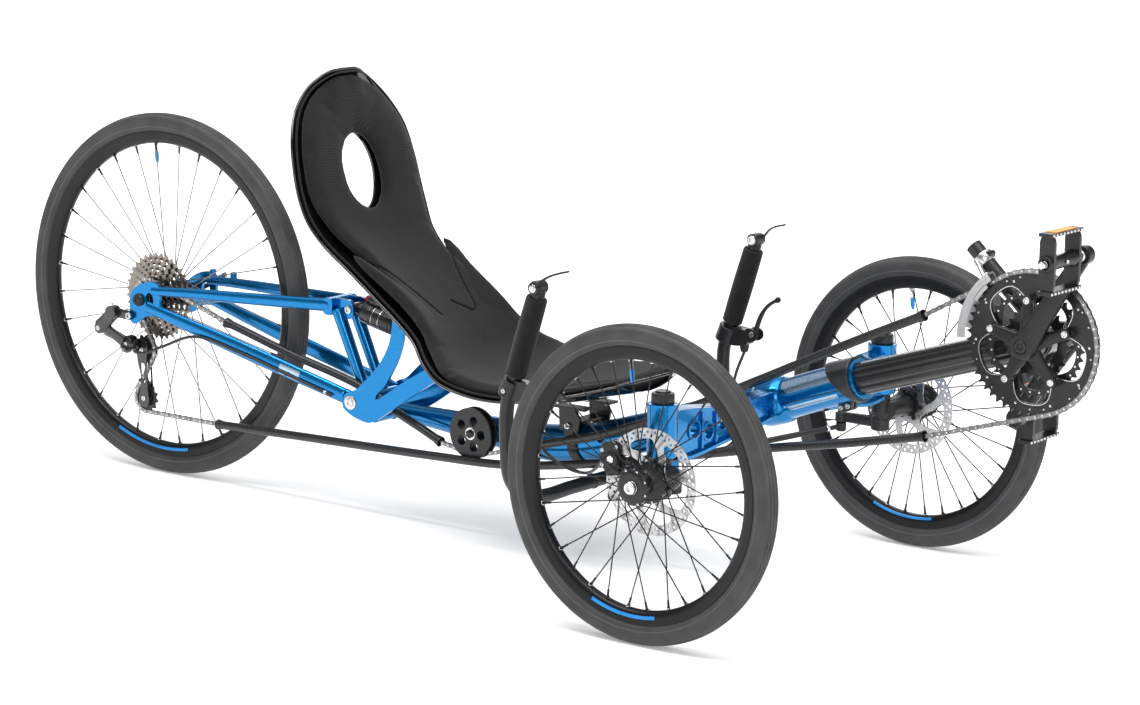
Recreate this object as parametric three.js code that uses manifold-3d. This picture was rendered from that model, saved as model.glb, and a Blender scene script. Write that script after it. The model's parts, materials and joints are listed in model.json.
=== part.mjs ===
// A recumbent tadpole tricycle for an adult: two steered wheels in front, one driven and sprung wheel behind.
// Millimetres. +X points forward, +Y to the rider's left and +Z up; the ground is z = 0.
import * as THREE from "three";
import { mergeVertices } from "three/addons/utils/BufferGeometryUtils.js";
import Module from "manifold-3d";

const wasm = await Module();
wasm.setup();

// ---------------------------------------------------------------- driving dimensions
const GAP = 0.3; // air left between touching pieces
const RUNNING_GAP = 0.4; // air left around a shaft that turns

const WHEELBASE = 1280;
const HALF_TRACK = 382;
const FRONT_RADIUS = 236.5;
const REAR_RADIUS = 313.5;
const WHEEL_SIDES = 36; // facets round a tyre, with one of them flat on the ground
const TYRE_HALF_WIDTH = 17;
const TYRE_HEIGHT = 31; // from the bead to the tread
const RIM_HEIGHT = 21;
const SPOKE_RADIUS = 1.2;
const SPOKES = 32;

const KINGPIN = { x: -20, y: 300 }; // the upright axis that each front wheel steers about
const STEERING_PIVOT = { x: -215, z: 142 };
const STEERING_ARM = { back: 80, out: 10 }; // from a kingpin to its tie rod's joint, and on the handlebar too
const TIE_ROD_INNER_Z = 150;
const TIE_ROD_OUTER_Z = 195;

const BOTTOM_BRACKET = { x: 449, z: 453 };
const CRANK_LENGTH = 170;
const CRANK_ANGLE = THREE.MathUtils.degToRad(57);
const CHAINRING_TEETH = 52;
const CHAIN_SPROCKET_TEETH = 16; // the sprocket that the chain is on
const JOCKEY_TEETH = 12;
const IDLER_TEETH = 18;
const CHAIN_PITCH = 12.7;
const CHAIN_HALF_WIDTH = 3.2;
const CHAIN_HALF_HEIGHT = 3.6;

const REAR_AXLE = { x: -WHEELBASE, z: REAR_RADIUS };
const SWINGARM_PIVOT = { x: -813, z: 197 };
const SHOCK_FRONT = { x: -720, z: 311 };
const SHOCK_REAR = { x: -857, z: 340 };
const IDLER = { x: -573, z: 176, y: -45 };
const JOCKEY_UPPER = { x: -1292, z: 222 };
const JOCKEY_LOWER = { x: -1288, z: 138 };
const GRIP_Y = 288;

const CENTRE_SHIFT = 517.88; // puts the origin under the middle of the whole tricycle

// ---------------------------------------------------------------- materials
const PAINT = { color: 0x1368c4, roughness: 0.25, metalness: 0.45 };
const ANODISED = { color: 0x17181a, roughness: 0.35, metalness: 0.7 };
const BLACK = { color: 0x1b1b1d, roughness: 0.5, metalness: 0.3 };
const STEEL = { color: 0xb8bbc0, roughness: 0.3, metalness: 0.9 };
const DARK_STEEL = { color: 0x55585c, roughness: 0.4, metalness: 0.8 };
const RUBBER = { color: 0x2c2c2e, roughness: 0.85, metalness: 0 };
const FOAM = { color: 0x19191a, roughness: 0.95, metalness: 0 };
const CLOTH = { color: 0x333335, roughness: 0.95, metalness: 0 };
const GLOSS_SHELL = { color: 0x0c0c0d, roughness: 0.12, metalness: 0 };
const CABLE = { color: 0x1d1d1f, roughness: 0.45, metalness: 0 };

const trike = new THREE.Group();
trike.name = "recumbent_tricycle";
const body = new THREE.Group();
body.position.x = CENTRE_SHIFT;
trike.add(body);

// Adds one named piece, and returns it so that it can be placed.
function piece(name, geometry, finish) {
  const mesh = new THREE.Mesh(geometry, new THREE.MeshStandardMaterial(finish));
  mesh.name = name;
  body.add(mesh);
  return mesh;
}

// Adds a right-hand piece and its mirror image on the left.
function mirroredPair(name, geometry, finish) {
  piece(name + "_right", geometry, finish);
  piece(name + "_left", geometry, finish).scale.y = -1;
}

// ---------------------------------------------------------------- solids
// A geometry as a solid with its faces pointing out.
function solid(geometry) {
  const bare = new THREE.BufferGeometry();
  bare.setAttribute("position", geometry.getAttribute("position"));
  if (geometry.index) bare.setIndex(geometry.index);
  const merged = mergeVertices(bare, 1e-3);
  const corners = merged.attributes.position.array;
  const faces = [];
  const index = merged.index.array;
  for (let i = 0; i < index.length; i += 3) {
    const [a, b, c] = [index[i], index[i + 1], index[i + 2]];
    if (a !== b && b !== c && c !== a) faces.push(a, b, c);
  }
  const made = (list) =>
    new wasm.Manifold(
      new wasm.Mesh({ numProp: 3, vertProperties: corners, triVerts: new Uint32Array(list) }),
    );
  const first = made(faces);
  if (first.volume() > 0) return first;
  for (let i = 0; i < faces.length; i += 3) [faces[i + 1], faces[i + 2]] = [faces[i + 2], faces[i + 1]];
  return made(faces);
}

function toGeometry(manifold) {
  const mesh = manifold.getMesh();
  const positions = new Float32Array(mesh.numVert * 3);
  for (let i = 0; i < mesh.numVert; i++) {
    positions.set(mesh.vertProperties.subarray(i * mesh.numProp, i * mesh.numProp + 3), i * 3);
  }
  const geometry = new THREE.BufferGeometry();
  geometry.setAttribute("position", new THREE.BufferAttribute(positions, 3));
  geometry.setIndex(new THREE.BufferAttribute(new Uint32Array(mesh.triVerts), 1));
  geometry.computeVertexNormals();
  return geometry;
}

function joined(parts, cuts = []) {
  let whole = solid(parts[0]);
  for (const part of parts.slice(1)) whole = whole.add(solid(part));
  for (const cut of cuts) whole = whole.subtract(solid(cut));
  return toGeometry(whole);
}

const v = (x, y, z) => new THREE.Vector3(x, y, z);

// A round bar from a to b, with its own radius at each end.
function bar(a, b, radiusA, radiusB = radiusA, sides = 12, spin = 0) {
  const along = b.clone().sub(a);
  const geometry = new THREE.CylinderGeometry(radiusB, radiusA, along.length(), sides);
  geometry.rotateY(spin);
  const turn = new THREE.Quaternion().setFromUnitVectors(v(0, 1, 0), along.clone().normalize());
  geometry.applyQuaternion(turn);
  geometry.translate(...a.clone().add(b).multiplyScalar(0.5).toArray());
  return geometry;
}

// A cylinder across the tricycle, from y0 to y1.
const crossBar = (x, z, y0, y1, radius, sides = 16) => bar(v(x, y0, z), v(x, y1, z), radius, radius, sides);

function box(x0, x1, y0, y1, z0, z1) {
  const geometry = new THREE.BoxGeometry(x1 - x0, y1 - y0, z1 - z0);
  return geometry.translate((x0 + x1) / 2, (y0 + y1) / 2, (z0 + z1) / 2);
}

// A flat plate with its outline in the XZ plane, between y0 and y1.
function plate(outline, y0, y1, holes = []) {
  const shape = new THREE.Shape(outline.map(([x, z]) => new THREE.Vector2(x, z)));
  for (const hole of holes) shape.holes.push(new THREE.Path(hole.map(([x, z]) => new THREE.Vector2(x, z))));
  const geometry = new THREE.ExtrudeGeometry(shape, { depth: y1 - y0, bevelEnabled: false });
  return geometry.rotateX(Math.PI / 2).translate(0, y1, 0);
}

// A flat plate with its outline in the YZ plane, between x0 and x1.
function facePlate(outline, x0, x1, holes = []) {
  const shape = new THREE.Shape(outline.map(([y, z]) => new THREE.Vector2(y, z)));
  for (const hole of holes) shape.holes.push(new THREE.Path(hole.map(([y, z]) => new THREE.Vector2(y, z))));
  const geometry = new THREE.ExtrudeGeometry(shape, { depth: x1 - x0, bevelEnabled: false });
  return geometry.rotateX(Math.PI / 2).rotateZ(Math.PI / 2).translate(x0, 0, 0);
}

// Points round an ellipse, for the outline of a section or a hole.
function ring(radiusA, radiusB = radiusA, sides = 12, centre = [0, 0], spin = 0) {
  return Array.from({ length: sides }, (_, i) => {
    const angle = spin + (2 * Math.PI * i) / sides;
    return [centre[0] + radiusA * Math.cos(angle), centre[1] + radiusB * Math.sin(angle)];
  });
}

// An outline pushed along a smooth curve through the given points.
function sweep(points, section, steps, hole = null) {
  const shape = new THREE.Shape(section.map(([x, y]) => new THREE.Vector2(x, y)));
  if (hole) shape.holes.push(new THREE.Path(hole.map(([x, y]) => new THREE.Vector2(x, y))));
  const extrudePath = points instanceof THREE.Curve ? points : new THREE.CatmullRomCurve3(points, false, "centripetal");
  return new THREE.ExtrudeGeometry(shape, { steps, extrudePath, bevelEnabled: false });
}

// A solid of revolution about a cross axis at (x, z). The profile is a list of [radius, y].
function turned(profile, x, z, sides = 20, closed = false) {
  const points = profile.map(([r, y]) => new THREE.Vector2(r, y));
  if (closed) points.push(points[0].clone());
  const half = Math.PI / sides;
  const geometry = new THREE.LatheGeometry(points, sides, half);
  return geometry.translate(x, 0, z);
}

// A solid through a row of convex rings that all have the same number of points.
function loft(rings) {
  const sides = rings[0].length;
  const last = (rings.length - 1) * sides;
  const index = [];
  for (let r = 0; r < last; r += sides) {
    for (let i = 0; i < sides; i++) {
      const j = (i + 1) % sides;
      index.push(r + i, r + j, r + sides + i, r + j, r + sides + j, r + sides + i);
    }
  }
  for (let i = 2; i < sides; i++) index.push(0, i, i - 1, last, last + i - 1, last + i);
  const geometry = new THREE.BufferGeometry();
  const positions = rings.flat().flatMap((p) => p.toArray());
  geometry.setAttribute("position", new THREE.Float32BufferAttribute(positions, 3));
  geometry.setIndex(index);
  return geometry;
}

const mirrored = (points) => points.map((p) => v(p.x, -p.y, p.z));
const pitchRadius = (teeth) => CHAIN_PITCH / (2 * Math.sin(Math.PI / teeth));

// ---------------------------------------------------------------- wheels
// Facets sit on the stated radius, so that the wheel rests on a flat.
const onFlat = (radius) => radius / Math.cos(Math.PI / WHEEL_SIDES);

function tyre(radius) {
  const side = TYRE_HALF_WIDTH;
  const profile = [
    [onFlat(radius), -7],
    [onFlat(radius), 7],
    [onFlat(radius - 13), side],
    [onFlat(radius - TYRE_HEIGHT), side - 6],
    [onFlat(radius - TYRE_HEIGHT), 6 - side],
    [onFlat(radius - 13), -side],
  ];
  return turned(profile, 0, 0, WHEEL_SIDES, true);
}

const rimOuterRadius = (radius) => radius - TYRE_HEIGHT - GAP;
const rimInnerRadius = (radius) => rimOuterRadius(radius) - RIM_HEIGHT;

function rim(radius) {
  const outer = onFlat(rimOuterRadius(radius));
  const inner = onFlat(rimInnerRadius(radius));
  const profile = [
    [outer, -11.5],
    [outer, 11.5],
    [inner, 6],
    [inner, -6],
  ];
  return turned(profile, 0, 0, WHEEL_SIDES, true);
}

// The spokes of one flange lean forwards and those of the other lean back.
function spokes(wheelRadius, flanges) {
  const end = rimInnerRadius(wheelRadius) - GAP;
  const lean = THREE.MathUtils.degToRad(48);
  return Array.from({ length: SPOKES }, (_, i) => {
    const angle = (2 * Math.PI * (i + 0.5)) / SPOKES;
    const flange = flanges[i % 2];
    const root = angle + lean * (i % 2 ? 1 : -1);
    const inner = v(flange.radius * Math.cos(root), flange.y, flange.radius * Math.sin(root));
    const outer = v(end * Math.cos(angle), flange.y > 0 ? 2 : -2, end * Math.sin(angle));
    return bar(inner, outer, SPOKE_RADIUS, SPOKE_RADIUS, 3);
  });
}

// The right front hub: the profile runs from the outer cap, at -y, to the rotor's seat.
const FRONT_HUB_BORE = 10;
const FRONT_FLANGES = [
  { radius: 25, y: -17 },
  { radius: 29, y: 20 },
];

function frontHub() {
  const bore = FRONT_HUB_BORE + RUNNING_GAP;
  const profile = [
    [bore, -22],
    [24, -22],
    [27, -19],
    [27, -15],
    [17, -12],
    [17, 14],
    [31, 18],
    [31, 22],
    [20, 23],
    [20, 25.5],
    [bore, 25.5],
  ];
  return joined([turned(profile, 0, 0, 16, true), ...spokes(FRONT_RADIUS, FRONT_FLANGES)]);
}

const ROTOR_RADIUS = 80;
const ROTOR_Y = { from: 26, to: 28 }; // towards the middle of the tricycle from the wheel's own plane

function rotor() {
  const windows = Array.from({ length: 6 }, (_, i) => {
    const a = (Math.PI * i) / 3;
    return [
      [27, 0.18],
      [63, 0.42],
      [63, 1.0],
      [27, 0.78],
    ].map(([r, turn]) => [r * Math.cos(a + turn), r * Math.sin(a + turn)]);
  });
  const bore = ring(FRONT_HUB_BORE + 2, FRONT_HUB_BORE + 2, 10);
  return plate(ring(ROTOR_RADIUS, ROTOR_RADIUS, 30), ROTOR_Y.from, ROTOR_Y.to, [bore, ...windows]);
}

function frontWheel(side) {
  const sign = side === "right" ? 1 : -1;
  const parts = [
    ["front_tyre_", tyre(FRONT_RADIUS), RUBBER],
    ["front_rim_", rim(FRONT_RADIUS), ANODISED],
    ["front_hub_", frontHub(), ANODISED],
    ["brake_rotor_", rotor(), STEEL],
  ];
  for (const [name, geometry, finish] of parts) {
    const mesh = piece(name + side, geometry, finish);
    mesh.position.set(0, -sign * HALF_TRACK, FRONT_RADIUS);
    mesh.scale.y = sign;
  }
}

const REAR_AXLE_RADIUS = 6;

function rearHub() {
  const bore = REAR_AXLE_RADIUS + RUNNING_GAP;
  const profile = [
    [bore, -22.5],
    [20, -22.5],
    [24, -20],
    [24, -16],
    [15, -13],
    [15, 26],
    [24, 31],
    [24, 35],
    [16, 38],
    [12, 62],
    [bore, 62],
  ];
  const flanges = [
    { radius: 22, y: -18 },
    { radius: 22, y: 33 },
  ];
  return joined([turned(profile, 0, 0, 16, true), ...spokes(REAR_RADIUS, flanges)]);
}

function rearWheel() {
  const parts = [
    ["rear_tyre", tyre(REAR_RADIUS), RUBBER],
    ["rear_rim", rim(REAR_RADIUS), ANODISED],
    ["rear_hub", rearHub(), STEEL],
  ];
  for (const [name, geometry, finish] of parts) {
    piece(name, geometry, finish).position.set(REAR_AXLE.x, 0, REAR_AXLE.z);
  }
}

// ---------------------------------------------------------------- main frame
// The middle line of the main tube, from the boom clamp back to the swingarm's cross member.
const TUBE_LINE = [v(128, 0, 350), v(0, 0, 303), v(-266, 0, 213), v(-380, 0, 180), v(-470, 0, 170)];
const TUBE_RADIUS = 31;
const TUBE_TAIL = [v(-462, 0, 170), v(-770, 0, 180)];
const CROSS_MEMBER = { x: -768, z: 178, radius: 10 };
const BRACKET_INNER_Y = 62;

function mainTube() {
  const front = sweep(TUBE_LINE, ring(TUBE_RADIUS, TUBE_RADIUS, 12), 8);
  const tail = bar(TUBE_TAIL[0], TUBE_TAIL[1], 30, 13, 12);
  const memberEnd = BRACKET_INNER_Y - GAP;
  const member = crossBar(CROSS_MEMBER.x, CROSS_MEMBER.z, -memberEnd, memberEnd, CROSS_MEMBER.radius, 12);
  const steeringPost = bar(v(STEERING_PIVOT.x, 0, 160), v(STEERING_PIVOT.x, 0, 215), 13, 13, 14);
  const idlerBoss = crossBar(IDLER.x, IDLER.z, IDLER.y + 10, -10, 11, 12);
  const idlerBolt = crossBar(IDLER.x, IDLER.z, IDLER.y - 13, IDLER.y + 11, 5, 10);
  const boomSocket = bar(boomPoint(-30), boomPoint(-0.2), TUBE_RADIUS, TUBE_RADIUS, 12);
  return joined([front, tail, member, steeringPost, idlerBoss, idlerBolt, boomSocket]);
}

// The side plates that carry the swingarm's pivot, the shock's front end and the seat back.
function pivotBracket() {
  const outline = [
    [-829, 187],
    [-797, 171],
    [-773, 168],
    [-744, 183],
    [-613, 272],
    [-611, 290],
    [-626, 306],
    [-712, 374],
    [-722, 372],
    [-727, 325],
    [-741, 286],
    [-767, 252],
    [-802, 220],
    [-828, 207],
  ];
  const window = [
    [-762, 207],
    [-636, 287],
    [-652, 302],
    [-697, 337],
    [-707, 295],
    [-726, 256],
  ];
  const inner = BRACKET_INNER_Y;
  const right = plate(outline, -inner - 6, -inner, [window]);
  const left = plate(outline, inner, inner + 6, [window]);
  const apexTube = crossBar(-711, 352, -inner - 1, inner + 1, 9, 10);
  const lugs = [-19, 13].map((y) => box(SHOCK_FRONT.x - 8, -703, y, y + 6, 303, 350));
  const shockBolt = crossBar(SHOCK_FRONT.x, SHOCK_FRONT.z, -16, 16, 5, 10);
  const axle = crossBar(SWINGARM_PIVOT.x, SWINGARM_PIVOT.z, -inner - 10, inner + 10, 6, 12);
  return joined([right, left, apexTube, ...lugs, shockBolt, axle]);
}

// The forged beam across the frame, with an upright strut housing at each end.
const STRUT = { radius: 23, low: 262, high: 342 };

function crossBeam() {
  const armHoles = [
    [-232, 292, 13],
    [-196, 284, 12],
    [-160, 292, 12],
    [-124, 284, 12],
    [-90, 292, 12],
  ];
  const arm = facePlate(
    [
      [-285, 256],
      [-250, 252],
      [-150, 262],
      [-36, 276],
      [-36, 318],
      [-150, 316],
      [-250, 328],
      [-285, 330],
    ],
    KINGPIN.x - 17,
    KINGPIN.x + 17,
    armHoles.map(([y, z, r]) => ring(r, r, 6, [y, z])),
  );
  const armLeft = arm.clone().scale(1, -1, 1);
  const tilt = Math.atan2(303 - 213, 266);
  const along = v(Math.cos(tilt), 0, Math.sin(tilt));
  const middle = v(KINGPIN.x, 0, 297);
  const ends = [-24, 24].map((d) => middle.clone().addScaledVector(along, d));
  const collar = bar(ends[0], ends[1], TUBE_RADIUS + 8, TUBE_RADIUS + 8, 14);
  const housings = [-1, 1].map((side) =>
    bar(v(KINGPIN.x, side * KINGPIN.y, STRUT.low), v(KINGPIN.x, side * KINGPIN.y, STRUT.high), STRUT.radius, STRUT.radius, 14),
  );
  const clearance = sweep(TUBE_LINE, ring(TUBE_RADIUS + GAP + 0.4, TUBE_RADIUS + GAP + 0.4, 12), 8);
  return joined([arm, armLeft, collar, ...housings], [clearance]);
}

function strutCap() {
  const cap = bar(v(KINGPIN.x, -KINGPIN.y, STRUT.high + GAP), v(KINGPIN.x, -KINGPIN.y, STRUT.high + 19), 17, 16, 12);
  return joined([cap]);
}

// ---------------------------------------------------------------- boom and bottom bracket
const BOOM_DIRECTION = v(BOTTOM_BRACKET.x - 134.5, 0, BOTTOM_BRACKET.z - 352.5).normalize();
const boomPoint = (distance) => v(134.5, 0, 352.5).addScaledVector(BOOM_DIRECTION, distance);
const BOOM_LENGTH = v(BOTTOM_BRACKET.x - 134.5, 0, BOTTOM_BRACKET.z - 352.5).length();
const SHELL = { radius: 22, halfWidth: 31 };

function boom() {
  const tube = bar(boomPoint(0.6), boomPoint(BOOM_LENGTH - 15), 25, 25, 16);
  const shell = crossBar(BOTTOM_BRACKET.x, BOTTOM_BRACKET.z, -SHELL.halfWidth, SHELL.halfWidth, SHELL.radius, 16);
  const postFoot = v(BOTTOM_BRACKET.x, 0, BOTTOM_BRACKET.z).addScaledVector(v(-0.735, 0, 0.678), 12);
  const postTop = postFoot.clone().addScaledVector(v(-0.735, 0, 0.678), 168);
  const post = bar(postFoot, postTop, 12, 12, 12);
  const bore = crossBar(BOTTOM_BRACKET.x, BOTTOM_BRACKET.z, -40, 40, 16, 12);
  return joined([tube, shell, post], [bore]);
}

function boomClamp() {
  const band = bar(boomPoint(-42), boomPoint(-6), TUBE_RADIUS + 4, TUBE_RADIUS + 3.5, 14);
  const ears = box(96, 122, -9, 9, 298, 322);
  const clearance = sweep(TUBE_LINE, ring(TUBE_RADIUS + GAP + 0.4, TUBE_RADIUS + GAP + 0.4, 12), 8);
  const socket = bar(boomPoint(-60), boomPoint(8), TUBE_RADIUS + GAP + 0.5, TUBE_RADIUS + GAP + 0.5, 12);
  return joined([band, ears], [clearance, socket]);
}

// The silver cage that straddles the big ring, its arm, and the band round the post.
function frontDerailleur() {
  const arc = (r0, r1, from, to, steps) => {
    const at = (r, a) => [BOTTOM_BRACKET.x + r * Math.cos(a), BOTTOM_BRACKET.z + r * Math.sin(a)];
    const angles = Array.from({ length: steps + 1 }, (_, i) => from + ((to - from) * i) / steps);
    return [...angles.map((a) => at(r1, a)), ...angles.reverse().map((a) => at(r0, a))];
  };
  const from = THREE.MathUtils.degToRad(128);
  const to = THREE.MathUtils.degToRad(176);
  const outer = plate(arc(99, 121, from, to, 6), -57.5, -56);
  const inner = plate(arc(99, 121, from, to, 6), -40.5, -39);
  const bridge = plate(arc(117, 121, from, from + 0.17, 2), -57, -40);
  const centre = v(BOTTOM_BRACKET.x, 0, BOTTOM_BRACKET.z).addScaledVector(v(-0.735, 0, 0.678), 152);
  const span = v(-0.735, 0, 0.678).multiplyScalar(8);
  const band = bar(centre.clone().sub(span), centre.clone().add(span), 16, 16, 12);
  const hole = bar(centre.clone().addScaledVector(span, -2), centre.clone().addScaledVector(span, 2), 12 + GAP, 12 + GAP, 12);
  const arm = bar(centre.clone().setY(-14), v(362, -39.8, 526), 4.5, 4, 8);
  return joined([outer, inner, bridge, band, arm], [hole]);
}

// ---------------------------------------------------------------- cranks, rings and pedals
const CRANK_DIRECTION = v(Math.cos(CRANK_ANGLE), 0, Math.sin(CRANK_ANGLE));
const CRANK_AXIS = v(BOTTOM_BRACKET.x, 0, BOTTOM_BRACKET.z);
const PEDAL_AXLE = { radius: 7, from: 84, to: 196 };

// side is -1 on the right and 1 on the left, and the cranks point opposite ways.
const crankEye = (side) => CRANK_AXIS.clone().addScaledVector(CRANK_DIRECTION, -side * CRANK_LENGTH);

// A flat tapered arm between two points at one y, from y0 to y1.
function taperedArm(a, b, widthA, widthB, y0, y1) {
  const along = v(b.x - a.x, 0, b.z - a.z).normalize();
  const across = v(-along.z, 0, along.x);
  const corner = (p, w) => [p.x + across.x * w, p.z + across.z * w];
  return plate([corner(a, widthA), corner(b, widthB), corner(b, -widthB), corner(a, -widthA)], y0, y1);
}

function crank(side) {
  const eye = crankEye(side);
  const [y0, y1] = side < 0 ? [-84, -66] : [66, 84];
  const arm = taperedArm(CRANK_AXIS, eye, 17, 12, y0, y1);
  const boss = crossBar(CRANK_AXIS.x, CRANK_AXIS.z, side < 0 ? -84 : 40, side < 0 ? -40 : 84, 20, 16);
  const eyeBoss = crossBar(eye.x, eye.z, y0, y1, 14, 14);
  const axle = crossBar(eye.x, eye.z, Math.min(side * 70, side * PEDAL_AXLE.to), Math.max(side * 70, side * PEDAL_AXLE.to), PEDAL_AXLE.radius, 10);
  const endNut = crossBar(eye.x, eye.z, side < 0 ? -198 : 190, side < 0 ? -190 : 198, 5, 8);
  const parts = [arm, boss, eyeBoss, axle, endNut];
  if (side < 0) {
    parts.push(crossBar(CRANK_AXIS.x, CRANK_AXIS.z, -60, 39.5, 12, 12));
    for (let i = 0; i < 5; i++) {
      const angle = CRANK_ANGLE + Math.PI / 5 + (i * 2 * Math.PI) / 5;
      const tip = CRANK_AXIS.clone().add(v(Math.cos(angle), 0, Math.sin(angle)).multiplyScalar(BOLT_CIRCLE));
      parts.push(taperedArm(CRANK_AXIS, tip, 14, 7, -66, -55));
      parts.push(crossBar(tip.x, tip.z, -66, -51, 7, 10));
    }
  }
  return joined(parts);
}

const BOLT_CIRCLE = 65;

// A toothed ring with a scalloped inner edge: five tabs reach in to the spider's bolts.
function chainring(teeth, y0, y1, tabRadius, lobeRadius) {
  const outerRadius = pitchRadius(teeth) - CHAIN_HALF_HEIGHT - 1.2;
  const outline = ring(outerRadius, outerRadius, teeth, [CRANK_AXIS.x, CRANK_AXIS.z]);
  const steps = 25;
  const inner = Array.from({ length: steps }, (_, i) => {
    const angle = (2 * Math.PI * i) / steps;
    const tab = 0.5 + 0.5 * Math.cos(5 * (angle - CRANK_ANGLE - Math.PI / 5));
    const r = lobeRadius + (tabRadius - lobeRadius) * tab ** 2;
    return [CRANK_AXIS.x + r * Math.cos(angle), CRANK_AXIS.z + r * Math.sin(angle)];
  });
  return plate(outline, y0, y1, [inner]);
}

function innerRings() {
  const centre = [CRANK_AXIS.x, CRANK_AXIS.z];
  const middle = plate(ring(78, 78, 30, centre), -43.5, -41, [ring(59, 59, 15, centre)]);
  const small = plate(ring(54, 54, 20, centre), -37, -34.5, [ring(32, 32, 12, centre)]);
  const spacers = Array.from({ length: 5 }, (_, i) => {
    const angle = CRANK_ANGLE + Math.PI / 5 + (i * 2 * Math.PI) / 5;
    const at = (r) => v(CRANK_AXIS.x + r * Math.cos(angle), 0, CRANK_AXIS.z + r * Math.sin(angle));
    return bar(at(64).setY(-43.8), at(46).setY(-34.8), 5, 4, 5);
  });
  return joined([middle, small, ...spacers]);
}

function pedal(side) {
  const eye = crankEye(side);
  const [y0, y1] = side < 0 ? [-188, -98] : [98, 188];
  const barrel = crossBar(eye.x, eye.z, y0, y1, 12, 12);
  const frame = facePlate(
    [
      [y0, eye.z - 36],
      [y0 + 8, eye.z - 44],
      [y1 - 8, eye.z - 44],
      [y1, eye.z - 36],
      [y1, eye.z + 36],
      [y1 - 8, eye.z + 44],
      [y0 + 8, eye.z + 44],
      [y0, eye.z + 36],
    ],
    eye.x - 12,
    eye.x + 12,
    [
      [
        [y0 + 9, eye.z + 10],
        [y1 - 9, eye.z + 10],
        [y1 - 9, eye.z + 35],
        [y0 + 9, eye.z + 35],
      ],
      [
        [y0 + 9, eye.z - 35],
        [y1 - 9, eye.z - 35],
        [y1 - 9, eye.z - 10],
        [y0 + 9, eye.z - 10],
      ],
    ],
  );
  const bore = crossBar(eye.x, eye.z, Math.min(side * 90, side * 200), Math.max(side * 90, side * 200), PEDAL_AXLE.radius + RUNNING_GAP, 10);
  return joined([barrel, frame], [bore]);
}

// ---------------------------------------------------------------- rear drive
const CASSETTE_TEETH = [36, 32, 28, 24, 20, 16, 14, 12, 11];
const CASSETTE_Y = -24;
const SPROCKET_PITCH = 4.35;
const CHAIN_REAR_Y = CASSETTE_Y - 5 * SPROCKET_PITCH - 2.2;

function cassette() {
  const bore = REAR_AXLE_RADIUS + RUNNING_GAP;
  const profile = [[bore, CASSETTE_Y]];
  CASSETTE_TEETH.forEach((teeth, i) => {
    const underChain = teeth === CHAIN_SPROCKET_TEETH;
    const radius = pitchRadius(teeth) - (underChain ? CHAIN_HALF_HEIGHT + 0.6 : 0);
    const face = CASSETTE_Y - i * SPROCKET_PITCH + (underChain ? 1.6 : 0);
    const back = CASSETTE_Y - (i + 1) * SPROCKET_PITCH + (CASSETTE_TEETH[i + 1] === CHAIN_SPROCKET_TEETH ? 1.61 : 0.01);
    profile.push([radius, face], [radius, back]);
  });
  const end = CASSETTE_Y - CASSETTE_TEETH.length * SPROCKET_PITCH;
  profile.push([15, end], [15, end - 1.5], [bore, end - 1.5]);
  return joined([turned(profile, REAR_AXLE.x, REAR_AXLE.z, 16, true)]);
}

function jockeyWheel(centre) {
  const r = pitchRadius(JOCKEY_TEETH) - CHAIN_HALF_HEIGHT - 1.6;
  const profile = [
    [3.4, CHAIN_REAR_Y - 3],
    [r, CHAIN_REAR_Y - 3],
    [r, CHAIN_REAR_Y + 3],
    [3.4, CHAIN_REAR_Y + 3],
  ];
  return turned(profile, centre.x, centre.z, 12, true);
}

function rearDerailleur() {
  const outerY = [CHAIN_REAR_Y - 8.5, CHAIN_REAR_Y - 6.5];
  const innerY = [CHAIN_REAR_Y + 5.5, CHAIN_REAR_Y + 7.5];
  const cage = [outerY, innerY].flatMap(([y0, y1]) => [
    taperedArm(v(JOCKEY_UPPER.x, 0, JOCKEY_UPPER.z + 9), v(JOCKEY_LOWER.x, 0, JOCKEY_LOWER.z - 9), 12, 10, y0, y1),
  ]);
  const pins = [JOCKEY_UPPER, JOCKEY_LOWER].map((p) => crossBar(p.x, p.z, outerY[0], innerY[1], 3, 8));
  const lowerKnuckle = crossBar(-1310, 232, -78, outerY[1], 15, 12);
  const linkage = bar(v(-1312, -72, 236), v(-1362, -84, 258), 13, 12, 8);
  const upperKnuckle = bar(v(-1362, -84, 258), v(-1330, -84, 286), 13, 12, 8);
  const hangerBolt = bar(v(-1330, -84, 286), v(-1302, -80, 286), 10, 9, 8);
  return joined([...cage, ...pins, lowerKnuckle, linkage, upperKnuckle, hangerBolt]);
}

// ---------------------------------------------------------------- chain and its guide tubes
const DRIVE_REAR = [
  v(-1106, -45, 291.5),
  v(-1076, -44, 284),
  v(-974, -42, 257),
  v(-818, -39, 220),
  v(-742, -42, 190),
  v(-677, -44, 166),
  v(-640, -45, 151.5),
];
const DRIVE_FRONT = [
  v(-506, -46, 156),
  v(-418, -46, 181),
  v(-306, -46, 213),
  v(-150, -46, 276),
  v(-23, -46.5, 336),
  v(159, -47.5, 423),
  v(267, -48, 472),
];
const RETURN_RUN = [
  v(275, -49, 292),
  v(140, -52, 263),
  v(13, -56, 238),
  v(-150, -59, 202),
  v(-327, -62, 164),
  v(-495, -62, 138),
  v(-652, -59, 130),
  v(-880, -54, 122),
  v(-1124, -47, 113),
];
const TUBE_STEPS = 10;
const curveOf = (points) => new THREE.CatmullRomCurve3(points, false, "centripetal");

function guideTube(points) {
  return sweep(curveOf(points), ring(7, 7, 8), TUBE_STEPS, ring(5.9, 5.9, 8));
}

// Points round a wheel of the chain's route, from one angle to another, in degrees.
function aroundWheel(centre, teeth, from, to, steps, y) {
  const r = pitchRadius(teeth);
  return Array.from({ length: steps + 1 }, (_, i) => {
    const a = THREE.MathUtils.degToRad(from + ((to - from) * i) / steps);
    return v(centre.x + r * Math.cos(a), y, centre.z + r * Math.sin(a));
  });
}

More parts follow.
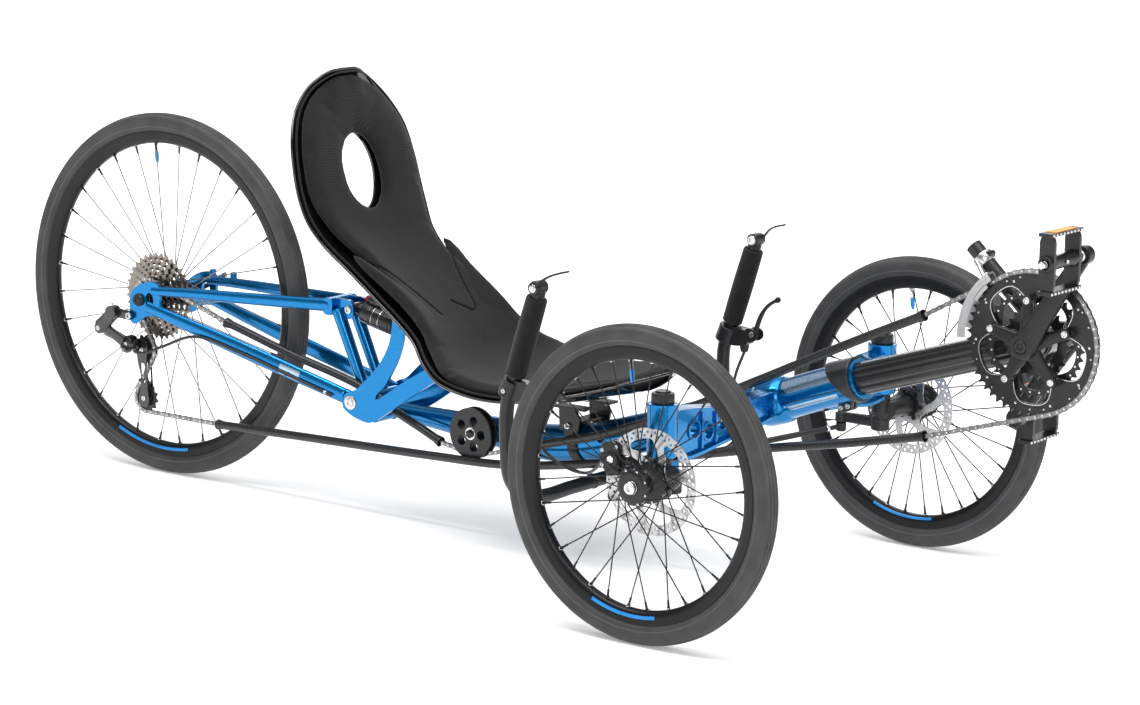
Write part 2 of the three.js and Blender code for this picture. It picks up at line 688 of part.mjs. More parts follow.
// The whole loop: round the big ring, back through the return tube, over the derailleur and sprocket,
// and forward under the idler.
function chainRoute() {
  const rearY = CHAIN_REAR_Y;
  return [
    ...aroundWheel(BOTTOM_BRACKET, CHAINRING_TEETH, 122, -75, 16, -48),
    ...curveOf(RETURN_RUN).getSpacedPoints(TUBE_STEPS),
    ...aroundWheel(JOCKEY_LOWER, JOCKEY_TEETH, 270, 135, 5, rearY),
    ...aroundWheel(JOCKEY_UPPER, JOCKEY_TEETH, -50, 30, 3, rearY),
    ...aroundWheel(REAR_AXLE, CHAIN_SPROCKET_TEETH, 215, 75, 6, rearY),
    ...curveOf(DRIVE_REAR).getSpacedPoints(TUBE_STEPS),
    ...aroundWheel(IDLER, IDLER_TEETH, 248, 288, 3, IDLER.y),
    ...curveOf(DRIVE_FRONT).getSpacedPoints(TUBE_STEPS),
  ];
}

// A closed ribbon along the chain's route.
function chainBand() {
  const route = chainRoute();
  const count = route.length;
  const positions = [];
  const index = [];
  route.forEach((point, i) => {
    const ahead = route[(i + 1) % count];
    const behind = route[(i + count - 1) % count];
    const along = ahead.clone().sub(behind).normalize();
    const out = v(0, 1, 0).cross(along).normalize();
    for (const [w, h] of [[-1, -1], [1, -1], [1, 1], [-1, 1]]) {
      const corner = point.clone().addScaledVector(out, h * CHAIN_HALF_HEIGHT);
      corner.y += w * CHAIN_HALF_WIDTH;
      positions.push(corner.x, corner.y, corner.z);
    }
    const next = ((i + 1) % count) * 4;
    for (let k = 0; k < 4; k++) {
      const a = i * 4 + k;
      const b = i * 4 + ((k + 1) % 4);
      const c = next + k;
      const d = next + ((k + 1) % 4);
      index.push(a, b, c, b, d, c);
    }
  });
  const geometry = new THREE.BufferGeometry();
  geometry.setAttribute("position", new THREE.Float32BufferAttribute(positions, 3));
  geometry.setIndex(index);
  return geometry;
}

function idlerPulley() {
  const groove = pitchRadius(IDLER_TEETH) - CHAIN_HALF_HEIGHT - 0.5;
  const y = IDLER.y;
  const profile = [
    [5.4, y - 9],
    [42, y - 9],
    [42, y - 5],
    [groove, y - 4],
    [groove, y + 4],
    [42, y + 5],
    [42, y + 9],
    [5.4, y + 9],
  ];
  const holes = Array.from({ length: 5 }, (_, i) => {
    const a = (i * 2 * Math.PI) / 5;
    return crossBar(IDLER.x + 22 * Math.cos(a), IDLER.z + 22 * Math.sin(a), y - 12, y + 12, 8, 6);
  });
  return joined([turned(profile, IDLER.x, IDLER.z, 20, true)], holes);
}

// ---------------------------------------------------------------- swingarm and shock
const STAY_PIVOT_Y = 54;
const DROPOUT_Y = { from: 68, to: 74 };

// An oval stay between two points, narrow across the tricycle, with its own half depth at each end.
const STAY_HALF_WIDTH = 7;

function ovalBar(a, b, depthA, depthB) {
  const along = b.clone().sub(a).normalize();
  const across = v(0, 1, 0).addScaledVector(along, -along.y).normalize();
  const up = along.clone().cross(across);
  const section = (end, depth) =>
    ring(STAY_HALF_WIDTH, depth, 10).map(([y, z]) => end.clone().addScaledVector(across, y).addScaledVector(up, z));
  return loft([section(a, depthA), section(b, depthB)]);
}

// The welded rear triangle: lower and upper stays, dropouts, the yoke at the shock and its two struts.
function swingarm() {
  const limit = BRACKET_INNER_Y - 0.5;
  const dropout = [
    [-1302, 296],
    [-1302, 276],
    [-1290, 270],
    [-1262, 288],
    [-1236, 290],
    [-1236, 346],
    [-1262, 346],
    [-1296, 328],
  ];
  const sides = [-1, 1].flatMap((side) => {
    const lower = [
      v(SWINGARM_PIVOT.x - 2, side * STAY_PIVOT_Y, SWINGARM_PIVOT.z + 1),
      v(-1059, side * 63, 255),
      v(-1262, side * 71, 303),
    ];
    const upper = [v(-1250, side * 71, 332), v(-1071, side * 50, 338), v(-893, side * 26, 344)];
    const [y0, y1] = side < 0 ? [-DROPOUT_Y.to, -DROPOUT_Y.from] : [DROPOUT_Y.from, DROPOUT_Y.to];
    return [
      ovalBar(lower[0], lower[1], 13, 14),
      ovalBar(lower[1], lower[2], 14, 10),
      plate(dropout, y0, y1),
      ovalBar(upper[0], upper[1], 8, 10),
      ovalBar(upper[1], upper[2], 10, 11),
      bar(v(-880, side * 21, 338), v(SWINGARM_PIVOT.x - 2, side * 21, SWINGARM_PIVOT.z), 11, 9, 8),
      box(-892, -848, side > 0 ? 15 : -21, side > 0 ? 21 : -15, 325, 355),
    ];
  });
  const bridge = box(-902, -884, -30, 30, 330, 356);
  const bolt = crossBar(SHOCK_REAR.x, SHOCK_REAR.z, -24, 24, 5, 10);
  const bosses = [-1240, -1192].map((x) => bar(v(x, 69, 334), v(x, 69, 352), 6, 6, 8));
  const barrel = crossBar(SWINGARM_PIVOT.x, SWINGARM_PIVOT.z, -limit, limit, 11, 12);
  const axle = crossBar(REAR_AXLE.x, REAR_AXLE.z, -82, 82, REAR_AXLE_RADIUS, 12);
  const bore = crossBar(SWINGARM_PIVOT.x, SWINGARM_PIVOT.z, -90, 90, 6 + RUNNING_GAP, 12);
  const faces = [-1, 1].map((side) => box(-860, -780, side > 0 ? limit : -120, side > 0 ? 120 : -limit, 150, 250));
  return joined([...sides, bridge, bolt, ...bosses, barrel, axle], [bore, ...faces]);
}

const SHOCK_AXIS = v(SHOCK_FRONT.x - SHOCK_REAR.x, 0, SHOCK_FRONT.z - SHOCK_REAR.z);
const SHOCK_LENGTH = SHOCK_AXIS.length();
SHOCK_AXIS.normalize();
const shockPoint = (distance, y = 0) => v(SHOCK_REAR.x, y, SHOCK_REAR.z).addScaledVector(SHOCK_AXIS, distance);

function shockBody() {
  const eye = crossBar(SHOCK_REAR.x, SHOCK_REAR.z, -14.6, 14.6, 10, 14);
  const neck = bar(shockPoint(0), shockPoint(20), 9, 9, 10);
  const can = bar(shockPoint(18), shockPoint(90), 19, 19, 16);
  const reservoir = bar(shockPoint(24).add(v(8, 0, 22)), shockPoint(44).add(v(8, 0, 22)), 8, 8, 8);
  const bore = bar(shockPoint(30), shockPoint(95), 9.2, 9.2, 12);
  const eyeBore = crossBar(SHOCK_REAR.x, SHOCK_REAR.z, -30, 30, 6.2, 12);
  return joined([eye, neck, can, reservoir], [bore, eyeBore]);
}

function shockShaft() {
  const rod = bar(shockPoint(62), shockPoint(SHOCK_LENGTH - 2), 8, 8, 12);
  const eye = crossBar(SHOCK_FRONT.x, SHOCK_FRONT.z, -12.4, 12.4, 9.5, 14);
  const eyeBore = crossBar(SHOCK_FRONT.x, SHOCK_FRONT.z, -30, 30, 5.4, 12);
  return joined([rod, eye], [eyeBore]);
}

// ---------------------------------------------------------------- steering
const armEnd = { x: KINGPIN.x - STEERING_ARM.back, y: -KINGPIN.y - STEERING_ARM.out };
const innerJoint = { x: STEERING_PIVOT.x - STEERING_ARM.back, y: -STEERING_ARM.out };

// The right knuckle: the kingpin below the strut housing, the spindle, the steering arm and the caliper arm.
const CALIPER = { x: -66, z: 262 };

function knuckle() {
  const hubFace = -HALF_TRACK + ROTOR_Y.to + 2;
  const kingpin = bar(v(KINGPIN.x, -KINGPIN.y, 202), v(KINGPIN.x, -KINGPIN.y, STRUT.low - RUNNING_GAP), 15, 15, 14);
  const spindleBoss = crossBar(-4, FRONT_RADIUS, hubFace, -KINGPIN.y, 16, 14);
  const spindle = crossBar(0, FRONT_RADIUS, -HALF_TRACK - 24, hubFace + 4, FRONT_HUB_BORE, 16);
  const bolt = crossBar(0, FRONT_RADIUS, -HALF_TRACK - 28, -HALF_TRACK - 23, 8, 10);
  const arm = bar(v(KINGPIN.x, -KINGPIN.y, 214), v(armEnd.x, armEnd.y, 211), 9, 8, 8);
  const armEye = bar(v(armEnd.x, armEnd.y, 203), v(armEnd.x, armEnd.y, 218), 10, 10, 10);
  const caliperArm = bar(v(-20, -KINGPIN.y - 20, 240), v(CALIPER.x + 8, -KINGPIN.y - 26, CALIPER.z - 2), 8, 7, 8);
  return joined([kingpin, spindleBoss, spindle, bolt, arm, armEye, caliperArm]);
}

function caliper() {
  const rotorMiddle = -HALF_TRACK + (ROTOR_Y.from + ROTOR_Y.to) / 2;
  const x = CALIPER.x;
  const z = CALIPER.z;
  const block = box(x - 14, x + 12, rotorMiddle - 7.5, rotorMiddle + 20, z - 24, z + 26);
  const top = box(x - 20, x - 13, rotorMiddle - 7, rotorMiddle + 16, z - 18, z + 20);
  const slot = box(x - 17, x + 30, rotorMiddle - 2.2, rotorMiddle + 2.2, z - 60, z + 60);
  const seat = box(x - 4, x + 40, rotorMiddle + 10, rotorMiddle + 40, z - 60, z + 8);
  return joined([block, top], [slot, seat]);
}

function tieRod() {
  const inner = v(innerJoint.x, innerJoint.y, TIE_ROD_INNER_Z);
  const outer = v(armEnd.x, armEnd.y, TIE_ROD_OUTER_Z);
  const rod = bar(inner, outer, 5, 5, 8);
  const innerEye = bar(inner.clone().setZ(TIE_ROD_INNER_Z - 6), inner.clone().setZ(TIE_ROD_INNER_Z + 6), 8.5, 8.5, 10);
  const outerEye = bar(outer.clone().setZ(TIE_ROD_OUTER_Z - 9), outer.clone().setZ(TIE_ROD_OUTER_Z + 6.4), 9.5, 8, 10);
  return joined([rod, innerEye, outerEye]);
}

// The bar runs from the right grip down, under the frame and up to the left grip.
const GRIP_LOW = v(-301, -GRIP_Y, 345);
const GRIP_HIGH = v(-262, -GRIP_Y, 468);
const POD = v(-259, -GRIP_Y, 484);

function handlebar() {
  const half = [
    v(-322, 0, 137),
    v(-322, -60, 137),
    v(-322, -120, 137),
    v(-321, -190, 137),
    v(-319, -245, 150),
    v(-318, -278, 182),
    v(-317, -GRIP_Y, 230),
    v(-316, -GRIP_Y, 300),
    GRIP_LOW,
    GRIP_HIGH,
    v(-259, -GRIP_Y, 478),
  ];
  const whole = [...half.slice(1).reverse(), ...mirrored(half).slice(1)];
  const bend = sweep(whole, ring(11, 11, 8), 22);
  const stem = box(-330, STEERING_PIVOT.x, -20, 20, 127, 140);
  const hub = bar(v(STEERING_PIVOT.x, 0, 124), v(STEERING_PIVOT.x, 0, 159.6), 18, 18, 14);
  const studs = [-1, 1].map((side) =>
    bar(v(innerJoint.x, side * STEERING_ARM.out, 138), v(innerJoint.x, side * STEERING_ARM.out, 143.4), 7, 6, 8),
  );
  const pods = [-1, 1].flatMap((side) => [
    crossBar(POD.x, POD.z, side * GRIP_Y - 11.2, side * GRIP_Y + 11.2, 11, 12),
    crossBar(POD.x, POD.z, side > 0 ? 297 : -304.2, side > 0 ? 304.2 : -297, 4, 8),
  ]);
  return joined([bend, stem, hub, ...studs, ...pods]);
}

function grip() {
  const tube = bar(GRIP_LOW, GRIP_HIGH, 16.5, 16, 14);
  const bore = sweep([v(-316, -GRIP_Y, 300), GRIP_LOW, GRIP_HIGH, v(-259, -GRIP_Y, 478)], ring(11.6, 11.6, 10), 8);
  const direction = GRIP_HIGH.clone().sub(GRIP_LOW).normalize();
  const core = bar(GRIP_LOW.clone().addScaledVector(direction, -20), GRIP_HIGH.clone().addScaledVector(direction, 12), 12.6, 12.6, 12);
  return joined([tube], [bore, core]);
}

// The brake's clamp and lever body, with two ears that hold the blade's pin.
const LEVER_PIN = { x: -256, z: 330 };

function brakePerch() {
  const clamp = bar(v(-314, -GRIP_Y, 312), v(-304, -GRIP_Y, 337), 18, 18, 12);
  const arm = box(-300, -264, -GRIP_Y - 11, -GRIP_Y + 11, 308, 336);
  const ears = [-1, 1].map((side) => {
    const y = -GRIP_Y + side * 8.5;
    return box(-266, -248, y - 2.5, y + 2.5, 318, 338);
  });
  const foot = bar(v(-276, -GRIP_Y, 314), v(-276, -GRIP_Y, 298), 9, 6, 8);
  const bore = sweep([v(-317, -GRIP_Y, 230), v(-316, -GRIP_Y, 300), GRIP_LOW, GRIP_HIGH], ring(11.9, 11.9, 10), 12);
  const core = bar(v(-318, -GRIP_Y, 296), v(-298, -GRIP_Y, 352), 13, 13, 12);
  return joined([clamp, arm, ...ears, foot], [bore, core]);
}

function brakeLever() {
  const blade = sweep(
    [v(-256, -GRIP_Y, 330), v(-250, -GRIP_Y, 350), v(-236, -GRIP_Y, 374), v(-214, -GRIP_Y, 390)],
    ring(3.5, 5, 8),
    5,
  );
  const root = crossBar(LEVER_PIN.x, LEVER_PIN.z, -GRIP_Y - 5.5, -GRIP_Y + 5.5, 7, 10);
  return joined([blade, root]);
}

function shiftLever() {
  const disc = crossBar(POD.x, POD.z, -GRIP_Y - 15.6, -GRIP_Y - 11.6, 10, 12);
  const bore = crossBar(POD.x, POD.z, -GRIP_Y - 20, -GRIP_Y, 4.4, 8);
  const blade = sweep(
    [v(-252, -GRIP_Y - 14.5, 488), v(-238, -GRIP_Y - 9, 502), v(-222, -GRIP_Y - 4, 509), v(-204, -GRIP_Y, 514)],
    ring(2, 2.8, 6),
    4,
  );
  return joined([disc, blade], [bore]);
}

// ---------------------------------------------------------------- seat
// The middle line of the pad's face, from the top of the back to the front lip, with its half width there.
const SEAT_LINE = [
  [-869, 724, 24],
  [-873, 717, 54],
  [-875, 703, 86],
  [-870, 677, 115],
  [-858, 640, 136],
  [-843, 585, 147],
  [-830, 540, 148],
  [-816, 508, 144],
  [-794, 476, 132],
  [-760, 446, 122],
  [-713, 411, 119],
  [-660, 371, 119],
  [-622, 339, 125],
  [-588, 309, 146],
  [-545, 287, 167],
  [-484, 275, 174],
  [-410, 275, 174],
  [-340, 286, 158],
  [-290, 298, 128],
  [-262, 305, 84],
];
const SEAT_DISH = 14; // how far the pan's edges rise above its middle
const PAD_THICKNESS = 20;
const SHELL_THICKNESS = 4;

// A slab that follows the seat line, between two depths behind the pad's face.
function seatSlab(near, far, shrink) {
  const line = SEAT_LINE;
  const columns = 6;
  const rows = line.length;
  const positions = [];
  const index = [];
  const normalAt = (i) => {
    const a = line[Math.max(i - 1, 0)];
    const b = line[Math.min(i + 1, rows - 1)];
    return new THREE.Vector2(b[1] - a[1], -(b[0] - a[0])).normalize().negate();
  };
  const count = columns + 1;
  for (const depth of [near, far]) {
    for (let i = 0; i < rows; i++) {
      const [x, z, width] = line[i];
      const normal = normalAt(i);
      const panness = THREE.MathUtils.smoothstep(x, -700, -520);
      for (let j = 0; j < count; j++) {
        const across = (2 * j) / columns - 1;
        const rise = (4 + panness * SEAT_DISH) * across ** 2 - depth;
        const inset = shrink * Math.sign(across) * Math.min(1, Math.abs(across) * 1.2);
        positions.push(x + normal.x * rise, width * across - inset, z + normal.y * rise);
      }
    }
  }
  const layer = rows * count;
  const quad = (a, b, c, d) => index.push(a, b, c, b, d, c);
  for (let i = 0; i < rows - 1; i++) {
    for (let j = 0; j < columns; j++) {
      const a = i * count + j;
      quad(a, a + 1, a + count, a + count + 1);
      quad(layer + a + 1, layer + a, layer + a + count + 1, layer + a + count);
    }
  }
  for (let i = 0; i < rows - 1; i++) {
    quad(layer + i * count, i * count, layer + (i + 1) * count, (i + 1) * count);
    const e = i * count + columns;
    quad(e, layer + e, e + count, layer + e + count);
  }
  for (let j = 0; j < columns; j++) {
    quad(j + 1, j, layer + j + 1, layer + j);
    const e = (rows - 1) * count + j;
    quad(e, e + 1, layer + e, layer + e + 1);
  }
  const geometry = new THREE.BufferGeometry();
  geometry.setAttribute("position", new THREE.Float32BufferAttribute(positions, 3));
  geometry.setIndex(index);
  return geometry;
}

// A side flap beside the waist: [x, z, inner y, outer y, rise of the inner edge, rise of the outer edge].
const WING = [
  [-772, 455, 108, 122, 4, 9],
  [-721, 416, 82, 120, 4, 17],
  [-660, 371, 54, 119, 4, 20],
  [-641, 355, 46, 121, 3, 20],
  [-600, 320, 80, 132, 0, 15],
  [-575, 302, 105, 142, -2, 11],
];
const WING_THICKNESS = 11;

function wing(side) {
  const rings = WING.map(([x, z, inner, outer, low, high]) => {
    const at = (y, up) => v(x + 0.66 * up, side * y, z + 0.75 * up);
    return [at(inner, low), at(outer, high), at(outer, high - WING_THICKNESS), at(inner, low - WING_THICKNESS)];
  });
  return loft(rings);
}

// The window behind the neck, cut square to the seat back.
function neckHole(grow) {
  const top = v(-853, 0, 628);
  const low = v(-827, 0, 522);
  const along = top.clone().sub(low).normalize();
  const middle = top.clone().add(low).multiplyScalar(0.5);
  const shape = new THREE.Shape(ring(43 + grow, 62 + grow, 16).map(([x, y]) => new THREE.Vector2(x, y)));
  const geometry = new THREE.ExtrudeGeometry(shape, { depth: 140, bevelEnabled: false }).translate(0, 0, -70);
  const through = v(along.z, 0, -along.x);
  const basis = new THREE.Matrix4().makeBasis(v(0, 1, 0), along, through.clone());
  if (basis.determinant() < 0) basis.makeBasis(v(0, -1, 0), along, through);
  return geometry.applyMatrix4(basis).translate(...middle.toArray());
}

function seatPad() {
  return joined([seatSlab(0, PAD_THICKNESS, 0), wing(-1), wing(1)], [neckHole(0)]);
}

function seatShell() {
  const near = PAD_THICKNESS + 1.6;
  return joined([seatSlab(near, near + SHELL_THICKNESS, -3)], [neckHole(4)]);
}

// The folded bracket that holds the seat pan over the main tube.
function seatBracket() {
  const sides = [-1, 1].flatMap((side) => {
    const y = side * 40;
    return [
      plate(
        [
          [-402, 205],
          [-366, 205],
          [-362, 226],
          [-376, 243],
          [-404, 243],
          [-402, 220],
        ],
        y - 2.5,
        y + 2.5,
      ),
      box(-414, -352, side > 0 ? 22 : -46, side > 0 ? 46 : -22, 241, 245),
    ];
  });
  const strap = box(-398, -372, -42, 42, 215.2, 219.2);
  return joined([...sides, strap]);
}

// ---------------------------------------------------------------- cables that the tricycle holds
function cable(points, radius, steps) {
  return sweep(points, ring(radius, radius, 6), steps);
}

const SHIFT_CABLE = [
  v(-1300, -81.5, 226),
  v(-1264, -82, 224),
  v(-1222, -80, 240),
  v(-1150, -76.6, 266),
  v(-1059, -73, 252),
  v(-950, -69, 226),
  v(-856, -65.6, 203),
];

const BRAKE_HOSE = [
  v(-276, -GRIP_Y, 297),
  v(-275, -286, 262),
  v(-264, -282, 222),
  v(-236, -280, 200),
  v(-190, -286, 204),
  v(-140, -300, 232),
  v(-108, -322, 258),
  v(-91, -340, 262),
  v(-88.4, -346, 262),
];

// ---------------------------------------------------------------- assembly
for (const side of ["right", "left"]) frontWheel(side);
rearWheel();

piece("main_tube", mainTube(), PAINT);
piece("pivot_bracket", pivotBracket(), PAINT);
piece("cross_beam", crossBeam(), PAINT);
mirroredPair("strut_cap", strutCap(), BLACK);
piece("boom", boom(), ANODISED);
piece("boom_clamp", boomClamp(), BLACK);
piece("front_derailleur", frontDerailleur(), STEEL);

piece("crank_right", crank(-1), BLACK);
piece("crank_left", crank(1), BLACK);
piece("chainring_outer", chainring(CHAINRING_TEETH, -49.6, -46.6, 58, 88), BLACK);
piece("chainring_inner", innerRings(), BLACK);
piece("pedal_right", pedal(-1), BLACK);
piece("pedal_left", pedal(1), BLACK);

piece("cassette", cassette(), STEEL);
piece("rear_derailleur", rearDerailleur(), BLACK);
piece("jockey_wheel_upper", jockeyWheel(JOCKEY_UPPER), BLACK);
piece("jockey_wheel_lower", jockeyWheel(JOCKEY_LOWER), BLACK);
piece("idler_pulley", idlerPulley(), BLACK);
piece("chain", toGeometry(solid(chainBand())), DARK_STEEL);
piece("chain_tube_drive_rear", guideTube(DRIVE_REAR), BLACK);
piece("chain_tube_drive_front", guideTube(DRIVE_FRONT), BLACK);
piece("chain_tube_return", guideTube(RETURN_RUN), BLACK);

piece("swingarm", swingarm(), PAINT);
piece("shock_body", shockBody(), BLACK);
piece("shock_shaft", shockShaft(), STEEL);

mirroredPair("steering_knuckle", knuckle(), BLACK);
mirroredPair("brake_caliper", caliper(), BLACK);
mirroredPair("tie_rod", tieRod(), BLACK);
piece("handlebar", handlebar(), BLACK);
mirroredPair("grip", grip(), FOAM);
mirroredPair("brake_perch", brakePerch(), BLACK);
mirroredPair("brake_lever", brakeLever(), BLACK);
mirroredPair("shift_lever", shiftLever(), BLACK);

piece("seat_pad", seatPad(), CLOTH);
piece("seat_shell", seatShell(), GLOSS_SHELL);
piece("seat_bracket", seatBracket(), BLACK);

piece("shift_cable", cable(SHIFT_CABLE, 2.5, 12), CABLE);
mirroredPair("brake_hose", cable(BRAKE_HOSE, 2.5, 14), CABLE);

export default trike;
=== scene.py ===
"""The looks of a recumbent tadpole tricycle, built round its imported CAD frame.

Shapes are made in millimetres with x forward, y to the rider's left, z up and x = 0 at the front axle;
SHIFT turns that into the frame's own x, whose origin is under the middle of the whole tricycle.
"""

import json
import math

import bmesh
import bpy
import numpy as np
from mathutils import Matrix, Vector
from mathutils.geometry import tessellate_polygon

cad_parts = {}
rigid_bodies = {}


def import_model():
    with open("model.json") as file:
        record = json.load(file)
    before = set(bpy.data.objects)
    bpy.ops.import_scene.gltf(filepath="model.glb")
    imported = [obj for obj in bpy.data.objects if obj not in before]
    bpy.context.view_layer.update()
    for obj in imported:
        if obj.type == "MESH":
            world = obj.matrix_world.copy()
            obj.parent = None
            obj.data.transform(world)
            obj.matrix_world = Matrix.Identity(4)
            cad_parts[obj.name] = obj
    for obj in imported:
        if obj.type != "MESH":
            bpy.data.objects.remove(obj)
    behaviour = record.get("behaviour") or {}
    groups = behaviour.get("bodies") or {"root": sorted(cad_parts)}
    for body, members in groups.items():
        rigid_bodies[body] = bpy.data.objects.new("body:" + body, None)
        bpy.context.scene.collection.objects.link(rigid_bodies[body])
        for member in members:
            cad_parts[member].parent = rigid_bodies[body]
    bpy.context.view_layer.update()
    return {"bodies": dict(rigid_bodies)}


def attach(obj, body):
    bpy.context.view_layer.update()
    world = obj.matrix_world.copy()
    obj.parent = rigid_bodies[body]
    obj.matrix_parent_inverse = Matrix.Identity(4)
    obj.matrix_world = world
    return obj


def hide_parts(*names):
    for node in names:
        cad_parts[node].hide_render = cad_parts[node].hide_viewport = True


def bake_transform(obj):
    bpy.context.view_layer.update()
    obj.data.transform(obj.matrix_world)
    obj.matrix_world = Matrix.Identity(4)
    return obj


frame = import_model()

MM = 0.001
SHIFT = 517.88
X, Y, Z = (1, 0, 0), (0, 1, 0), (0, 0, 1)
TAU = 2 * math.pi
KINGPIN = (-20, -300)

# ------------------------------------------------------------------ camera
CAMERA_AT = (3048.39 + SHIFT, -4631.64, 1461.25)
AZIMUTH, ELEVATION, ROLL = (math.radians(a) for a in (36.786, 11.148, 0.726))
LENS_MM = 117.295


def link_object(name, data):
    obj = bpy.data.objects.new(name, data)
    bpy.context.scene.collection.objects.link(obj)
    return obj


def make_camera():
    camera = link_object("camera", bpy.data.cameras.new("camera"))
    sa, ca, se, ce = math.sin(AZIMUTH), math.cos(AZIMUTH), math.sin(ELEVATION), math.cos(ELEVATION)
    back = Vector((sa * ce, -ca * ce, se))
    right = Vector((ca, sa, 0))
    up = back.cross(right)
    tilted_right = right * math.cos(ROLL) + up * math.sin(ROLL)
    tilted_up = up * math.cos(ROLL) - right * math.sin(ROLL)
    turn = Matrix((tilted_right, tilted_up, back)).transposed().to_4x4()
    camera.matrix_world = Matrix.Translation(Vector(CAMERA_AT) * MM) @ turn
    camera.data.lens = LENS_MM
    camera.data.sensor_width = 36
    camera.data.sensor_fit = "HORIZONTAL"
    camera.data.clip_end = 100
    bpy.context.scene.camera = camera


make_camera()


# ------------------------------------------------------------------ materials
def new_material(name):
    material = bpy.data.materials.new(name)
    material.use_nodes = True
    tree = material.node_tree
    coords = tree.nodes.new("ShaderNodeTexCoord").outputs["Object"]
    return tree, tree.nodes, tree.links, tree.nodes["Principled BSDF"], coords, material


def set_inputs(node, values):
    for name, value in values.items():
        node.inputs[name].default_value = value


def noise_node(tree, coords, scale, detail=3, stretch=(1, 1, 1)):
    mapping = tree.nodes.new("ShaderNodeMapping")
    mapping.inputs["Scale"].default_value = stretch
    tree.links.new(coords, mapping.inputs["Vector"])
    noise = tree.nodes.new("ShaderNodeTexNoise")
    set_inputs(noise, {"Scale": scale, "Detail": detail})
    tree.links.new(mapping.outputs["Vector"], noise.inputs["Vector"])
    return noise.outputs["Fac"]


def ranged(tree, value, low, high, start=0.3, end=0.7):
    node = tree.nodes.new("ShaderNodeMapRange")
    set_inputs(node, {"From Min": start, "From Max": end, "To Min": low, "To Max": high})
    tree.links.new(value, node.inputs["Value"])
    return node.outputs["Result"]


def blended(tree, factor, colour_a, colour_b):
    node = tree.nodes.new("ShaderNodeMix")
    node.data_type = "RGBA"
    tree.links.new(factor, node.inputs["Factor"])
    for socket, colour in (("A", colour_a), ("B", colour_b)):
        inputs = [s for s in node.inputs if s.name == socket and s.type == "RGBA"]
        if isinstance(colour, tuple):
            inputs[0].default_value = (*colour, 1)
        else:
            tree.links.new(colour, inputs[0])
    return [s for s in node.outputs if s.type == "RGBA"][0]


def bumped(tree, shader, heights):
    """Chains bumps: heights is a list of (value, strength, distance in metres)."""
    previous = None
    for value, strength, distance in heights:
        bump = tree.nodes.new("ShaderNodeBump")
        set_inputs(bump, {"Strength": strength, "Distance": distance})
        tree.links.new(value, bump.inputs["Height"])
        if previous:
            tree.links.new(previous, bump.inputs["Normal"])
        previous = bump.outputs["Normal"]
    tree.links.new(previous, shader.inputs["Normal"])


def finish_of(name, colour, rough=0.45, metal=0.0, vary=0.18, vary_scale=35, grain=600, bump=0.15,
              depth=0.0001, rough_spread=0.1, coat=0.0, sheen=0.0, stretch=(1, 1, 1), specular=0.5):
    """A surface whose colour and gloss drift a little and whose grain is raised by bump."""
    tree, nodes, links, shader, coords, material = new_material(name)
    drift = noise_node(tree, coords, vary_scale, 4)
    dark = tuple(c * (1 - vary) for c in colour)
    light = tuple(min(1, c * (1 + vary)) for c in colour)
    links.new(blended(tree, ranged(tree, drift, 0, 1), dark, light), shader.inputs["Base Color"])
    fine = noise_node(tree, coords, grain, 3, stretch)
    low, high = max(0.02, rough - rough_spread), min(1, rough + rough_spread)
    links.new(ranged(tree, fine, low, high), shader.inputs["Roughness"])
    bumped(tree, shader, [(fine, bump, depth)])
    set_inputs(shader, {"Metallic": metal, "Coat Weight": coat, "Coat Roughness": 0.05, "Sheen Weight": sheen,
                        "Specular IOR Level": specular})
    return material


def paint_of(name, deep, bright):
    """Metallic lacquer: fine flakes under a clear coat with a very slight orange peel."""
    tree, nodes, links, shader, coords, material = new_material(name)
    flakes = nodes.new("ShaderNodeTexVoronoi")
    flakes.inputs["Scale"].default_value = 2600
    links.new(coords, flakes.inputs["Vector"])
    sparkle = nodes.new("ShaderNodeSeparateColor")
    links.new(flakes.outputs["Color"], sparkle.inputs["Color"])
    links.new(blended(tree, sparkle.outputs["Red"], deep, bright), shader.inputs["Base Color"])
    links.new(ranged(tree, sparkle.outputs["Green"], 0.15, 0.3, 0, 1), shader.inputs["Roughness"])
    peel = noise_node(tree, coords, 180, 2)
    bumped(tree, shader, [(peel, 0.05, 0.0003)])
    set_inputs(shader, {"Metallic": 0.85, "Specular IOR Level": 0.25})
    set_inputs(shader, {"Coat Weight": 0.4, "Coat Roughness": 0.03})
    return material


def textile_of(name, dark, light, cell=820):
    """A spacer-mesh textile: rounded cells with painted shade in the pits between them, and a soft sheen."""
    tree, nodes, links, shader, coords, material = new_material(name)
    cells = nodes.new("ShaderNodeTexVoronoi")
    set_inputs(cells, {"Scale": cell, "Randomness": 0.35})
    links.new(coords, cells.inputs["Vector"])
    # The pits between cells are darkened: painted shade in the recesses.
    pit_shade = ranged(tree, cells.outputs["Distance"], 0, 1, 0.25, 0.6)
    shade = blended(tree, pit_shade, light, dark)
    drift = noise_node(tree, coords, 14, 4)
    # Random darker patches are laid over the painted pit shade.
    wear_and_pit_shade = blended(tree, ranged(tree, drift, 0, 0.35), shade, tuple(c * 0.6 for c in dark))
    links.new(wear_and_pit_shade, shader.inputs["Base Color"])
    lint = noise_node(tree, coords, 2400, 2)
    links.new(ranged(tree, lint, 0.82, 1.0), shader.inputs["Roughness"])
    domes = ranged(tree, cells.outputs["Distance"], 1, 0, 0.1, 0.6)
    bumped(tree, shader, [(domes, 0.55, 0.0004), (lint, 0.3, 0.0002)])
    set_inputs(shader, {"Sheen Weight": 0.12, "Sheen Roughness": 0.5, "Specular IOR Level": 0.2})
    return material


